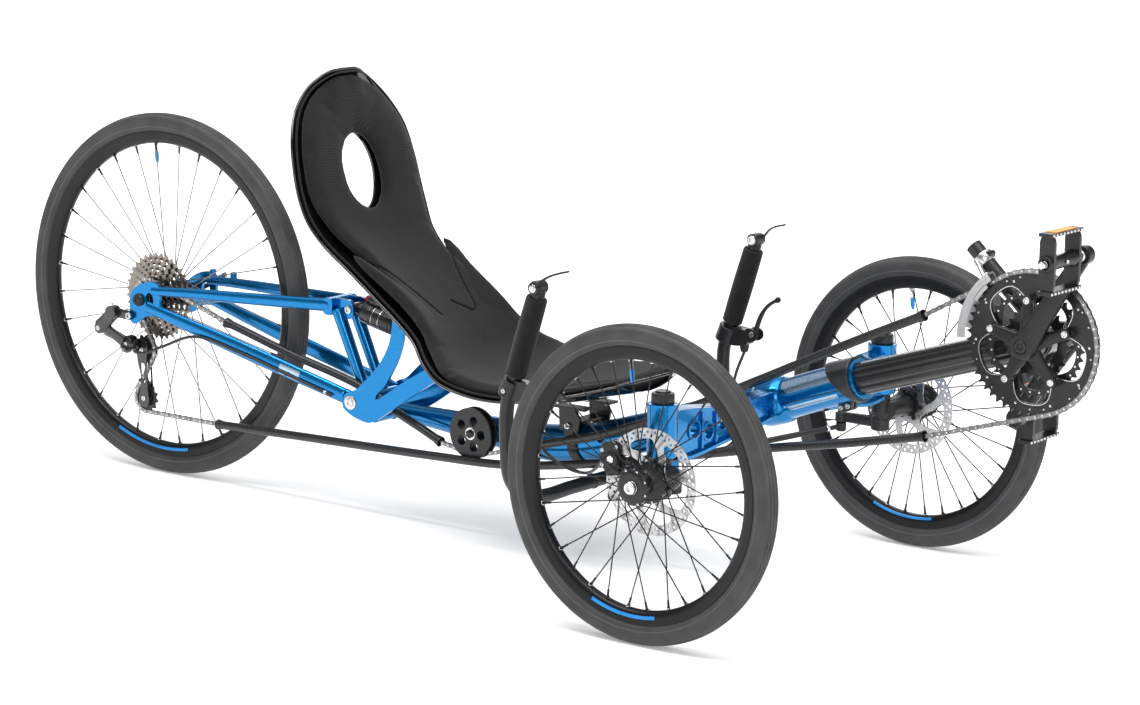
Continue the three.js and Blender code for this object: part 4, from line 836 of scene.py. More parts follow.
def cross_beam_parts():
    """A forged beam with pockets in its webs, a collar round the main tube and the strut housings."""
    outline = [(-285, 256), (-250, 252), (-150, 262), (-36, 276), (-36, 318), (-150, 316), (-250, 328),
               (-285, 330)]
    holes = [(-232, 292, 13), (-196, 284, 12), (-160, 292, 12), (-124, 284, 12), (-90, 292, 12)]
    shape = Shape()
    for side in (-1, 1):
        flip = -side
        edges = (-285, -214, -178, -142, -107, -36)
        for y0, y1, (y, z, r) in zip(edges, edges[1:], holes):
            low = np.interp((y0, y1), *zip(*outline[:4]))
            high = np.interp((y0, y1), *zip(*outline[:3:-1]))
            face = [(flip * y0, low[0]), (flip * y1, low[1]), (flip * y1, high[1]), (flip * y0, high[0])]
            shape.add(prism(face, -29, -11, [circle(r, 24, (flip * y, z))], "yz"))
        for edge in (
            ((-34, 315.5), (-90, 313.5), (-150, 313.5), (-250, 325.5), (-284, 327.5)),
            ((-34, 278.5), (-90, 270.5), (-150, 264.5), (-250, 254.5), (-284, 258.5)),
        ):
            flange = curve([(-20, flip * y, z) for y, z in edge], 30)
            shape.add(sweep(flange, [(-17, -2.5), (17, -2.5), (17, 2.5), (-17, 2.5)], ref=X))
        for y in (-107, -142, -178, -214):
            foot = np.interp(-y, (36, 150, 250), (278, 264, 254))
            head = np.interp(-y, (36, 150, 250), (316, 314, 326))
            shape.add(block((-33, flip * y - 2.2, foot), (-7, flip * y + 2.2, head)))
        for y, z, r in holes:
            lip = [(r - 1, -11.4), (r + 3, -11.4), (r + 3, 11.4), (r - 1, 11.4)]
            shape.add(turn(lip, (-20, flip * y, z), X, 24, ring=True))
        housing = [(17, -35.4), (20, -40), (22.6, -38.5), (23, -35), (23, 36), (23.4, 37), (23.4, 39.4)]
        shape.add(turn([*housing, (22.6, 40), (17, 40)], (-20, side * 300, 302), Z, 56, ring=True))
        shape.add(rod((-20, side * 300, 262.4), (-20, side * 300, 340), 18, 18, 40))
    tilt = unit((266, 0, 90))
    collar = [(31.2, -26), (33.4, -24), (36.4, -18), (37.2, -12), (37.2, 12), (36.4, 18), (33.4, 24),
              (31.2, 26)]
    shape.add(turn(collar, (-20, 0, 297), tilt, 72, ring=True))
    piece("beam", shape, [BLUE], "frame", "cross_beam", "frame_paint", bevel=1.1)
    caps = Shape()
    profile = [(0, 0), (16.6, 0), (17, 1), (17, 13), (16, 15.6), (12, 16), (11, 18.8), (0, 18.8)]
    caps.add(turn(profile, (*KINGPIN, 342.2), Z, 48))
    for x, y in circle(16.2, 14, (-20, -300)):
        caps.add(rod((x, y, 344), (x, y, 357), 1.6, 1.3, 8))
    both_sides("cap", caps, [SATIN], "frame", "strut_cap", "black_metal", bevel=0.3)


cross_beam_parts()


def bracket_parts():
    """Two plates that carry the swingarm's pivot, each with a rounded window, and their bolts."""
    outline = [(-829, 187), (-812, 176), (-797, 171), (-773, 168), (-744, 183), (-680, 226.4), (-613, 272),
               (-610, 282)]
    outline += [(-613, 292), (-626, 306), (-668, 339), (-710, 373), (-718, 375), (-723, 371), (-724, 350),
                (-727, 325)]
    outline += [(-732, 305), (-741, 286), (-753, 268), (-767, 252), (-784, 236), (-802, 220), (-820, 213),
                (-829, 204)]
    window = [(-760, 209), (-700, 246.5), (-640, 285), (-639, 291), (-652, 302), (-690, 333), (-696, 335),
              (-699, 330)]
    window += [(-703, 310), (-708, 293), (-716, 274), (-727, 255), (-741, 233), (-758, 216)]
    plates = Shape()
    for y in (-1, 1):
        plates.add(prism(smooth_outline(outline, 120), y * 62, y * 68, [smooth_outline(window, 90)]))
    plates.add(rod((-711, -62.5, 352), (-711, 62.5, 352), 9, 9, 32))
    for y in (-1, 1):
        plates.add(weld((-711, y * 61.5, 352), Y, 9.6, 1.4, 48))
    lug = [(-728, 303), (-703, 305), (-703, 350), (-714, 350), (-728, 322)]
    for y in (-19, 13):
        plates.add(prism(lug, y, y + 6))
    piece("pivot_plates", plates, [BLUE], "frame", "pivot_bracket", "frame_paint", bevel=1.3)
    bolts = Shape()
    bolts.add(rod((-813, -68, 197), (-813, 68, 197), 6, 6, 28), 1)
    for y in (-1, 1):
        washer = [(0, 0), (11.5, 0), (12, 0.5), (12, 1.3), (11, 1.8), (0, 1.8)]
        bolts.add(turn(washer, (-813, y * 68, 197), (0, y, 0), 40))
        bolts.add(bolt((-813, y * 69.6, 197), (0, y, 0), 7.4, 2.4, 30))
        for x, out, z, radius, height in ((-720, 18.9, 311, 6.4, 4), (-711, 68, 352, 5, 3),
                (-636, 68, 289, 4.6, 3)):
            bolts.add(bolt((x, y * out, z), (0, y, 0), radius, height), 1)
    bolts.add(rod((-720, -19, 311), (-720, 19, 311), 5, 5, 24), 1)
    piece("pivot_bolts", bolts, [SILVER, SATIN], "frame", "pivot_bracket", "bare_steel", bevel=0.3)


bracket_parts()


# ------------------------------------------------------------------ cranks and rings
CRANK_ANGLE = math.radians(57)
CRANK_LENGTH = 170
CHAIN_PITCH = 12.7
OUTER_TEETH, IDLER_TEETH, JOCKEY_TEETH = 52, 18, 12
C = (BRACKET[0], BRACKET[2])


def pitch_radius(teeth):
    return CHAIN_PITCH / (2 * math.sin(math.pi / teeth))


def toothed(centre, teeth, phase=0.0, tip=3.6, root=3.9):
    """A sprocket's outline: round valleys on the pitch circle with narrow teeth between them."""
    r = pitch_radius(teeth)
    half = [(0.0, -root), (0.18, -root * 0.72), (0.3, -0.6), (0.42, tip * 0.85), (0.5, tip)]
    tooth = half + [(1 - t, lift) for t, lift in half[3:0:-1]]
    out = []
    for i in range(teeth):
        for t, lift in tooth:
            a = TAU * (i + t) / teeth + phase
            out.append((centre[0] + (r + lift) * math.cos(a), centre[1] + (r + lift) * math.sin(a)))
    return out


def scalloped(centre, tab, lobe, power=2.4, count=200):
    """The five-lobed opening of a chainring, whose tabs meet the spider."""
    out = []
    for i in range(count):
        a = TAU * i / count
        wave = (0.5 + 0.5 * math.cos(5 * (a - CRANK_ANGLE - math.pi / 5))) ** power
        r = lobe + (tab - lobe) * wave
        out.append((centre[0] + r * math.cos(a), centre[1] + r * math.sin(a)))
    return out


def highlight_rib(outline, y, width, height):
    """A thin bright rib that follows an outline on a plate's face: a painted highlight along that edge."""
    points = [(x, y, z) for x, z in outline]
    section = [(-width, -height), (width, -height), (width, height), (-width, height)]
    return sweep(points, section, ref=Y, closed=True)


def chainring_parts():
    outer = Shape()
    outer.add(prism(toothed(C, OUTER_TEETH), -49.6, -46.6, [scalloped(C, 57, 88)]))
    # A silver rib round the outer ring's scallops: a painted highlight on its inner edge.
    outer.add(highlight_rib(scalloped(C, 58.2, 89.6), -49.7, 1.2, 0.5), 1)
    for i in range(10):
        a = CRANK_ANGLE + TAU * (i + 0.5) / 10
        outer.add(bolt(around(C, 93, a, -49.6), (0, -1, 0), 2.0, 1.0, 14), 1)
    for i in range(26):
        at = around(C, 96.6, TAU * (i + 0.5) / 26, -49.6)
        outer.add(turn([(0, 0), (1.5, 0), (1.2, 0.6), (0, 0.6)], at, (0, -1, 0), 10), 1 if i % 3 else 0)
    piece("ring_outer", outer, [SATIN, SILVER], "crankset", "chainring_outer", "anodised", bevel=0.35)
    inner = Shape()
    inner.add(prism(toothed(C, 39, 0.03, 2.6, 3.6), -43.5, -41, [scalloped(C, 57, 69, 1.6)]))
    inner.add(prism(toothed(C, 26, 0.05, 2.4, 3.4), -37, -34.5, [circle(34, 60, C)]))
    for a in spider_angles():
        inner.add(disc(around(C, 63, a, -45.9), Y, 5.2, 4.6, 20), 1)
        inner.add(disc(around(C, 40, a, -41.1), Y, 4.6, 6.6, 20), 1)
        inner.add(sweep([around(C, 40, a, -38.5), around(C, 66, a, -42.3)], rounded(9, 4, 1.5)))
    for i in range(30):
        inner.add(disc(around(C, 72.5, TAU * (i + 0.25) / 30, -43.5), (0, -1, 0), 1.6, 0.7, 10), 1)
    piece("ring_inner", inner, [SATIN, SILVER], "crankset", "chainring_inner", "anodised", bevel=0.3)


def spider_angles():
    return [CRANK_ANGLE + math.pi / 5 + i * TAU / 5 for i in range(5)]


def arm_rings(a, b, y_a, y_b, widths, depths, count=24):
    """A crank arm as a smooth superellipse section that slims from boss to eye."""
    a, b = np.array((a[0], y_a, a[1]), float), np.array((b[0], y_b, b[1]), float)
    flat = unit((b - a) * (1, 0, 1))
    across = np.array((-flat[2], 0, flat[0]))
    rings = []
    for i in range(count):
        t = i / (count - 1)
        half_w = np.interp(t, np.linspace(0, 1, len(widths)), widths)
        half_d = np.interp(t, np.linspace(0, 1, len(depths)), depths)
        ring = []
        for c, s in circle(1, 32):
            w = math.copysign(abs(c) ** 0.62, c) * half_w
            d = math.copysign(abs(s) ** 0.62, s) * half_d
            ring.append(a + (b - a) * t + across * w + np.array((0, d, 0)))
        rings.append(ring)
    return loft(rings)


def crank_eye(side):
    """side is -1 on the right and 1 on the left."""
    reach = -side * CRANK_LENGTH
    return (C[0] + reach * math.cos(CRANK_ANGLE), C[1] + reach * math.sin(CRANK_ANGLE))


def crank_parts():
    for side, name in ((-1, "crank_right"), (1, "crank_left")):
        eye, out, face = crank_eye(side), (0, side, 0), side * 75
        arm = Shape()
        arm.add(arm_rings(C, eye, face, face, (19, 16.5, 14.5, 13, 12.5), (8.6, 8.8, 8.4, 7.8, 7.6)))
        boss = [(0, -9), (18, -9), (20, -7), (20.5, 0), (19.6, 6), (17, 8.8), (10.6, 9), (10.2, 6.5),
                (0, 6.5)]
        arm.add(turn(boss, (C[0], face, C[1]), out, 48))
        arm.add(turn(chamfered(0, 14, -8.4, 8.4, 1.4), (eye[0], face, eye[1]), out, 40))
        if side < 0:
            for a in spider_angles():
                tip = around(C, 64, a, 0)
                arm.add(arm_rings(C, (tip[0], tip[2]), -64, -59.6, (18, 13, 10.5, 9, 8),
                    (6.4, 5.6, 5, 4.6, 4.2), 14))
                end = [(0, 0), (7.6, 0), (8, 1), (8, 8), (7, 9), (0, 9)]
                arm.add(turn(end, around(C, 64, a, -64.5), Y, 28))
                arm.add(disc(around(C, 64, a, -56), Y, 5.6, 6, 24), 1)
                head = [(0, 0), (5.4, 0), (5.4, 1.6), (4.4, 2.2), (2.6, 2.2), (2.5, 1), (0, 1)]
                arm.add(turn(head, around(C, 64, a, -64.4), out, 24), 1)
            arm.add(rod((C[0], -68, C[1]), (C[0], -40.5, C[1]), 19, 19, 48))
            arm.add(rod((C[0], -60, C[1]), (C[0], 39.5, C[1]), 12, 12, 32), 1)
        else:
            arm.add(rod((C[0], 40, C[1]), (C[0], 70, C[1]), 19, 19, 48))
        cap = [(0, 0), (9.6, 0), (9.6, 2.4), (8.6, 3.2), (5.4, 3.2), (5.2, 1.2), (3.4, 1.2), (3.2, 2.4),
               (0, 2.4)]
        arm.add(turn(cap, (C[0], side * 82.2, C[1]), out, 40), 2)
        axle = [(0, 0), (8.4, 0), (8.4, 4), (7, 5), (7, 20), (5.6, 60), (5, 104), (0, 104)]
        arm.add(turn(axle, (eye[0], side * 84, eye[1]), out, 32), 1)
        arm.add(hexagon((eye[0], side * 192, eye[1]), out, 6, 5.6), 1)
        piece("arm_" + name, arm, [CRANK_BLACK, SILVER, SATIN], "crankset", name, "anodised", bevel=0.5)


def pedal_parts():
    """A caged platform pedal: two toothed side plates on a barrel, and a reflector front and back."""
    for side, name in ((-1, "pedal_right"), (1, "pedal_left")):
        ex, ez = crank_eye(side)
        y0, y1 = side * 99, side * 187
        body = Shape()
        barrel = [(7.6, 0), (11.6, 0), (12.4, 2), (12.4, 18), (10.6, 26), (10, 44), (10.6, 62), (12, 72)]
        barrel += [(12, 86), (10.5, 88), (7.6, 88)]
        body.add(turn(barrel, (ex, y0, ez), (0, side, 0), 40, ring=True))
        arm = [(-9, -38), (9, -38), (12, -12), (12, 12), (9, 38), (-9, 38), (-12, 12), (-12, -12)]
        arm = smooth_outline([(ex + x, ez + z) for x, z in arm], 56)
        for end in (0.1, 0.9):
            y = y0 + (y1 - y0) * end
            body.add(prism(arm, y - 3.4, y + 3.4))
        for face in (-1, 1):
            top = ez + face * 41.2
            body.add(block((ex - 11, y0, top - 2.6), (ex + 11, y1, top + 2.6)))
            for row in (-1, 1):
                for k in range(9):
                    body.add(tooth_part(ex + row * 9.6, y0 + (y1 - y0) * (0.06 + 0.11 * k), top, row), 1)
            lens = top + face * 1.6
            body.add(block((ex - 8.4, y0 + side * 15, lens - 2), (ex + 8.4, y1 - side * 15, lens + 2)), 2)
        for lip in (-1, 1):
            body.add(bolt((ex + lip * 11.6, (y0 + y1) / 2, ez), (lip, 0, 0), 3, 1.4, 16), 1)
        piece("platform_" + name, body, [SATIN, SILVER, AMBER], name, name, "black_metal", bevel=0.6)


def tooth_part(x, y, z, row):
    """One grip tooth standing out from a pedal's plate."""
    rings = []
    corners = ((-1, -1), (1, -1), (1, 1), (-1, 1))
    for out, half, tall in ((0, 3.0, 2.4), (1.6, 2.2, 2.0), (2.4, 1.0, 1.4)):
        rings.append([(x + row * out, y + a * half, z + b * tall) for a, b in corners])
    return loft(rings)


chainring_parts()
crank_parts()
pedal_parts()


# ------------------------------------------------------------------ chain and its tubes
DRIVE_REAR = [(-1106, -45, 291.5), (-1076, -44, 284), (-974, -42, 257), (-818, -39, 220), (-742, -42, 190)]
DRIVE_REAR += [(-677, -44, 166), (-640, -45, 151.5)]
DRIVE_FRONT = [(-506, -46, 156), (-418, -46, 181), (-306, -46, 213), (-150, -46, 276), (-23, -46.5, 336)]
DRIVE_FRONT += [(159, -47.5, 423), (267, -48, 472)]
RETURN_RUN = [(275, -49, 292), (140, -52, 263), (13, -56, 238), (-150, -59, 202), (-327, -62, 164),
              (-495, -62, 138)]
RETURN_RUN += [(-652, -59, 130), (-880, -54, 122), (-1124, -47, 113)]
IDLER = (-573, 176)
JOCKEY_UPPER, JOCKEY_LOWER = (-1292, 222), (-1288, 138)
CHAIN_REAR_Y = -47.95


def wrapped(centre, teeth, start, end, y):
    r = pitch_radius(teeth)
    return [around(centre, r, math.radians(a), y) for a in np.linspace(start, end, 40)]


def chain_route():
    """The whole loop as a dense closed polyline."""
    points = wrapped(C, OUTER_TEETH, 122, -75, -48)
    points += list(curve(RETURN_RUN, 160))
    points += wrapped(JOCKEY_LOWER, JOCKEY_TEETH, 270, 135, CHAIN_REAR_Y)
    points += wrapped(JOCKEY_UPPER, JOCKEY_TEETH, -50, 30, CHAIN_REAR_Y)
    points += wrapped((REAR_AXLE[0], REAR_AXLE[2]), 16, 215, 75, CHAIN_REAR_Y)
    points += list(curve(DRIVE_REAR, 120))
    points += wrapped(IDLER, IDLER_TEETH, 248, 288, -45)
    points += list(curve(DRIVE_FRONT, 140))
    return np.array(points)


def joints_along(route):
    """Points one chain pitch apart round the loop."""
    closed = np.vstack([route, route[:1]])
    walked = np.concatenate([[0], np.cumsum(np.linalg.norm(np.diff(closed, axis=0), axis=1))])
    count = 2 * round(walked[-1] / CHAIN_PITCH / 2)
    wanted = np.linspace(0, walked[-1], count + 1)[:-1]
    return np.stack([np.interp(wanted, walked, closed[:, k]) for k in range(3)], 1)


def link_outline(length, radius=3.6, waist=2.7):
    """A chain plate's outline, along its own length from joint to joint."""
    out = []
    for end, start, narrow in ((0, math.pi / 2, -waist), (length, -math.pi / 2, waist)):
        turns = [start + math.pi * k / 6 for k in range(7)]
        out += [(end + radius * math.cos(a), radius * math.sin(a)) for a in turns]
        out.append((length / 2, narrow))
    return out


def link(a, b, outer):
    """Two plates with pins on an outer link or rollers on an inner one, each with a material number."""
    along = b - a
    length = np.linalg.norm(along)
    along /= length
    up = unit(np.cross(along, Y))
    across = np.cross(up, along)
    parts = []
    near, far = (2.5, 3.2) if outer else (1.6, 2.3)
    outline = link_outline(length)
    for side in (-1, 1):
        rings = [[a + along * s + up * t + across * side * d for s, t in outline] for d in (near, far)]
        parts.append((loft(rings), 0))
    half, radius, sides = (3.3, 1.5, 8) if outer else (1.6, 3.1, 10)
    for p in (a, b):
        parts.append((rod(p - across * half, p + across * half, radius, radius, sides), 1))
    return parts


def chain_parts():
    joints = joints_along(chain_route())
    front, rear = Shape(), Shape()
    for i, a in enumerate(joints):
        b = joints[(i + 1) % len(joints)]
        target = rear if min(a[0], b[0]) < -1113 else front
        for part, mat in link(a, b, i % 2 == 0):
            target.add(part, mat)
    piece("chain_front", front, [CHAIN_STEEL, SILVER], "frame", "chain", "chain_steel")
    loop = piece("chain_rear", rear, [CHAIN_STEEL, SILVER], None, "chain", "chain_steel")
    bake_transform(loop)


def pipe(points, outer, inner, count=120, flare=2.0, sides=28):
    """An open tube whose two ends open out like a trumpet."""
    p = curve(points, count)
    walked = np.concatenate([[0], np.cumsum(np.linalg.norm(np.diff(p, axis=0), axis=1))])
    edge = np.minimum(walked, walked[-1] - walked)
    grow = flare * np.clip(1 - edge / 11, 0, 1) ** 0.6
    centres, basis = frames(p, Y)
    rings = []
    for radius, order in ((outer, range(count)), (inner, range(count - 1, -1, -1))):
        for i in order:
            _, side, up = basis[i]
            r = radius + grow[i]
            rings.append([centres[i] + side * a + up * b for a, b in circle(r, sides)])
    return loft(rings, closed=True)


def guide_tube_parts():
    for points, name in ((DRIVE_REAR, "drive_rear"), (DRIVE_FRONT, "drive_front"), (RETURN_RUN, "return")):
        shape = Shape().add(pipe(points, 7, 5.9))
        piece("guide_" + name, shape, [TUBE_PLASTIC], "frame", "chain_tube_" + name, "guide_tube")


def idler_parts():
    x, z = IDLER
    wheel = Shape()
    holes = [circle(6, 32, IDLER)] + [circle(8, 24, hole) for hole in circle(22, 5, IDLER)]
    flange, drum = circle(42, 96, IDLER), circle(31.5, 72, IDLER)
    wheel.add(prism(flange, -53.8, -50, holes))
    wheel.add(prism(flange, -40, -36.2, holes))
    wheel.add(prism(toothed(IDLER, IDLER_TEETH, 0.06, 1.5, 4.2), -46.3, -43.7, holes))
    wheel.add(prism(drum, -50.2, -39.8, holes))
    wheel.add(turn([(5.6, -54), (10, -54), (10, -36), (5.6, -36)], (x, 0, z), Y, 36, ring=True), 1)
    piece("pulley", wheel, [PLASTIC, SILVER], "idler", "idler_pulley", "plastic", bevel=0.5)


def cassette_parts():
    x, z = REAR_AXLE[0], REAR_AXLE[2]
    cogs = [36, 32, 28, 24, 20, 16, 14, 12, 11]
    faces = [-24 - 4.35 * i for i in range(9)]
    faces[5], faces[6] = -47.0, -51.4
    shape = Shape()
    for i, (teeth, face) in enumerate(zip(cogs, faces)):
        holes = [circle(13, 32, (x, z))]
        low, high = 19, pitch_radius(teeth) - 9.5
        for k in range(6 if teeth > 18 else 0):
            a0, a1 = TAU * (k + 0.13) / 6, TAU * (k + 0.87) / 6
            ring = [(x + high * math.cos(t), z + high * math.sin(t)) for t in np.linspace(a0, a1, 9)]
            back = np.linspace(a1 - 0.05, a0 + 0.05, 7)
            ring += [(x + low * math.cos(t), z + low * math.sin(t)) for t in back]
            holes.append(ring)
        shape.add(prism(toothed((x, z), teeth, 0.02 * i, 2.6, 3.4), face - 1.8, face, holes))
        if i < 8:
            spacer = [(13.2, faces[i + 1]), (16.4, faces[i + 1]), (16.4, face - 1.8), (13.2, face - 1.8)]
            shape.add(turn(spacer, (x, 0, z), Y, 40, ring=True), 1)
    lock = [(6.6, -63), (15, -63), (16, -63.6), (16, -64.6), (14.6, -65), (10.5, -65), (10.5, -63.8),
            (6.6, -63.8)]
    shape.add(turn(lock, (x, 0, z), Y, 48, ring=True))
    for i in range(24):
        a = TAU * i / 24
        shape.add(sweep([around((x, z), 10.6, a, -64.6), around((x, z), 13.4, a, -64.9)], circle(0.6, 6)), 1)
    piece("sprockets", shape, [SPROCKET_STEEL, SATIN], "cassette", "cassette", "bare_steel", bevel=0.15)


def jockey_parts():
    for centre, name in ((JOCKEY_UPPER, "upper"), (JOCKEY_LOWER, "lower")):
        x, z = centre
        wheel = Shape()
        holes = [circle(3.6, 20, centre)] + [circle(2.4, 12, hole) for hole in circle(12, 6, centre)]
        outline = toothed(centre, JOCKEY_TEETH, 0.1, 1.2, 3.6)
        wheel.add(prism(outline, CHAIN_REAR_Y - 1.3, CHAIN_REAR_Y + 1.3, holes))
        wheel.add(turn(chamfered(3.4, 8.8, -3, 3, 0.4, 0.6), (x, CHAIN_REAR_Y, z), Y, 32, ring=True), 1)
        piece("jockey_" + name, wheel, [PLASTIC, SATIN], "jockey_" + name, "jockey_wheel_" + name,
            "plastic", bevel=0.2)


def cage_outline(width_a, width_b):
    """The cage's plate: round ends over both jockey wheels with a slimmer middle."""
    (xa, za), (xb, zb) = JOCKEY_UPPER, JOCKEY_LOWER
    turns = [math.pi * k / 12 for k in range(13)]
    out = [(xa + width_a * math.cos(a), za + 6 + width_a * math.sin(a)) for a in turns]
    out += [(xa - width_a * 0.75, za - 22), (xb - width_b * 0.5, zb + 34)]
    out += [(xb - width_b * math.cos(a), zb - 4 - width_b * math.sin(a)) for a in turns]
    return out + [(xb + width_b * 0.55, zb + 34), (xa + width_a * 0.8, za - 22)]


def rear_derailleur_parts():
    outline = smooth_outline(cage_outline(13, 12), 90)
    slot = smooth_outline([(-1293, 200), (-1287, 199), (-1285, 180), (-1285, 166), (-1289, 165),
        (-1293, 180)], 30)
    cage = Shape()
    for y in (-56.4, -42.4):
        cage.add(prism(outline, y, y + 1.9, [slot]))
    for x, z in (JOCKEY_UPPER, JOCKEY_LOWER):
        cage.add(rod((x, -56.4, z), (x, -40.5, z), 3, 3, 20), 1)
        cage.add(bolt((x, -56.3, z), (0, -1, 0), 4.6, 2.0, 20), 1)
    cage.add(rod((-1300, -55, 168), (-1300, -41.4, 168), 2.4, 2.4, 12))
    piece("cage", cage, [CHANGER_BLACK, SILVER], "swingarm", "rear_derailleur", "black_metal", bevel=0.4)
    body = Shape()
    knuckle = [(0, -22.5), (12, -22.5), (14.6, -20.5), (15, -17), (15, -3), (13, -0.6), (0, -0.6)]
    body.add(turn(knuckle, (-1310, -56.2, 232), Y, 44))
    for a, b, y, wide in (((-1312, 238), (-1362, 262), -83, 10.5), ((-1308, 230), (-1360, 250), -72, 8.6)):
        body.add(arm_rings(a, b, y + 4, y, (wide, wide * 0.8, wide), (4.6, 3.6, 4.6), 14))
    body.add(turn(chamfered(0, 10.4, -10, 10, 1.4), (-1362, -80, 257), Y, 32))
    body.add(arm_rings((-1362, 258), (-1330, 288), -83, -83, (13.5, 12, 12.5), (8.6, 7.6, 8), 14))
    body.add(turn(chamfered(0, 12, -9, 9, 1), (-1332, -84, 287), Y, 36))
    body.add(arm_rings((-1332, 287), (-1298, 284), -80, -77, (9, 8, 8), (4, 3.6, 3.4), 12))
    body.add(bolt((-1299, -79.4, 284.4), (0, -1, 0), 6.2, 4, 24), 1)
    body.add(bolt((-1310, -78.6, 232), (0, -1, 0), 5.4, 1.6, 24), 1)
    body.add(bolt((-1362, -90, 257), (0, -1, 0), 4.6, 2, 20), 1)
    for dz in (0, 9):
        body.add(rod((-1338, -78, 300 - dz), (-1346, -78, 303 - dz), 2.2, 2.2, 12), 1)
    body.add(rod((-1302, -81.5, 226), (-1314, -81.5, 229), 4.2, 3.4, 18))
    piece("changer_rear", body, [CHANGER_BLACK, SILVER], "swingarm", "rear_derailleur", "black_metal",
        bevel=0.5)


def sector(r0, r1, a0, a1, count=14):
    """An outline round the crank's axis between two radii and two angles."""
    angles = np.radians(np.linspace(a0, a1, count))
    rows = [around(C, r1, a, 0) for a in angles] + [around(C, r0, a, 0) for a in angles[::-1]]
    return [(row[0], row[2]) for row in rows]


def front_derailleur_parts():
    """A curved cage over the rings on a linkage that clamps round the post."""
    cage = Shape()
    for r0, r1, a0, a1, y0, y1 in (
        (108, 121, 128, 182, -57.5, -56), (103, 110, 134, 150, -57.5, -56),
        (99, 121, 128, 176, -40.5, -39), (118.4, 121, 128, 138, -57.4, -39.2),
    ):
        cage.add(prism(sector(r0, r1, a0, a1), y0, y1))
    cage.add(edge_rail(C, 114, 130, 174, -57.6))
    cage.add(edge_rail(C, 108, 133, 172, -57.6))
    piece("cage_front", cage, [CAGE_ALLOY], "frame", "front_derailleur", "bare_steel", bevel=0.4)
    links = Shape()
    centre = np.array(BRACKET) + POST_ALONG * 152
    links.add(turn(chamfered(12.3, 16, -8, 8, 0.6, 1), centre, POST_ALONG, 48, ring=True))
    up = np.array((POST_ALONG[2], 0, -POST_ALONG[0]))
    half = np.array((0, 6, 0))
    for d in (-5, 5):
        foot = centre - 2 * half - up * 6 + POST_ALONG * d
        links.add(arm_line(foot, np.array((368, -39, 528)) + POST_ALONG * d * 0.6, 3.4))
    ear = centre + up * 14
    links.add(rod(ear - half, ear + half, 5, 5, 20), 1)
    links.add(bolt(ear - half, (0, -1, 0), 4.6, 3.4), 1)
    links.add(rod((366, -40, 536), (366, -20, 536), 3, 3, 14), 1)
    links.add(rod((360, -42, 522), (356, -24, 540), 5.4, 4.2, 16))
    piece("changer_front", links, [SILVER, SATIN], "frame", "front_derailleur", "bare_steel", bevel=0.3)


def edge_rail(centre, radius, a0, a1, y):
    points = [around(centre, radius, math.radians(a), y) for a in np.linspace(a0, a1, 20)]
    return sweep(points, circle(0.9, 8), ref=Y)


def arm_line(a, b, radius):
    return sweep(curve([a, (a + b) / 2 + np.array((0, -1.5, 1.5)), b], 12), circle(radius, 14))


chain_parts()
guide_tube_parts()
idler_parts()
cassette_parts()
jockey_parts()
rear_derailleur_parts()
front_derailleur_parts()


# ------------------------------------------------------------------ swingarm and shock
SHOCK_FRONT, SHOCK_REAR = np.array((-720, 0, 311)), np.array((-857, 0, 340))
SHOCK_ALONG = unit(SHOCK_FRONT - SHOCK_REAR)
SHOCK_LENGTH = float(np.linalg.norm(SHOCK_FRONT - SHOCK_REAR))


def shock_point(distance):
    return SHOCK_REAR + SHOCK_ALONG * distance


def lower_stay(s):
    return [(-815, s * 54, 198), (-930, s * 58.6, 225), (-1059, s * 63, 255), (-1262, s * 71, 303)]


def upper_stay(s):
    return [(-1250, s * 71, 332), (-1160, s * 60.5, 336), (-1071, s * 50, 338.4), (-893, s * 26, 344)]


STAY_HALF_WIDTH = 7
LOWER_DEPTHS, UPPER_DEPTHS = (13, 13.8, 14, 10), (8, 9, 10, 11)


def stay(points, depths):
    """A tall oval tube through points, with its half height at each."""
    rows = curve([(*p, d) for p, d in zip(points, depths)], 40)
    return sweep(rows[:, :3], circle(1, 32), [(STAY_HALF_WIDTH, d) for d in rows[:, 3]], ref=Y)


def stay_highlight_patch(s, x0, x1):
    """A pale patch laid on the outer face of a lower stay, painted as a highlight."""
    rows = curve([(*p, d) for p, d in zip(lower_stay(s), LOWER_DEPTHS)], 160)
    rows = np.array([r for r in rows if x0 <= r[0] <= x1])
    centres, basis = frames(rows[:, :3], Y)
    angles = np.radians(np.linspace(-38, 38, 9))
    rings = []
    for centre, (_, side, up), depth in zip(centres, basis, rows[:, 3]):
        out = side if side[1] * s > 0 else -side
        ring = []
        for lift, order in ((0.3, angles), (-0.6, angles[::-1])):
            wide, tall = STAY_HALF_WIDTH + lift, depth + lift
            ring += [centre + out * wide * math.cos(a) + up * tall * math.sin(a) for a in order]
        rings.append(ring)
    return loft(rings)


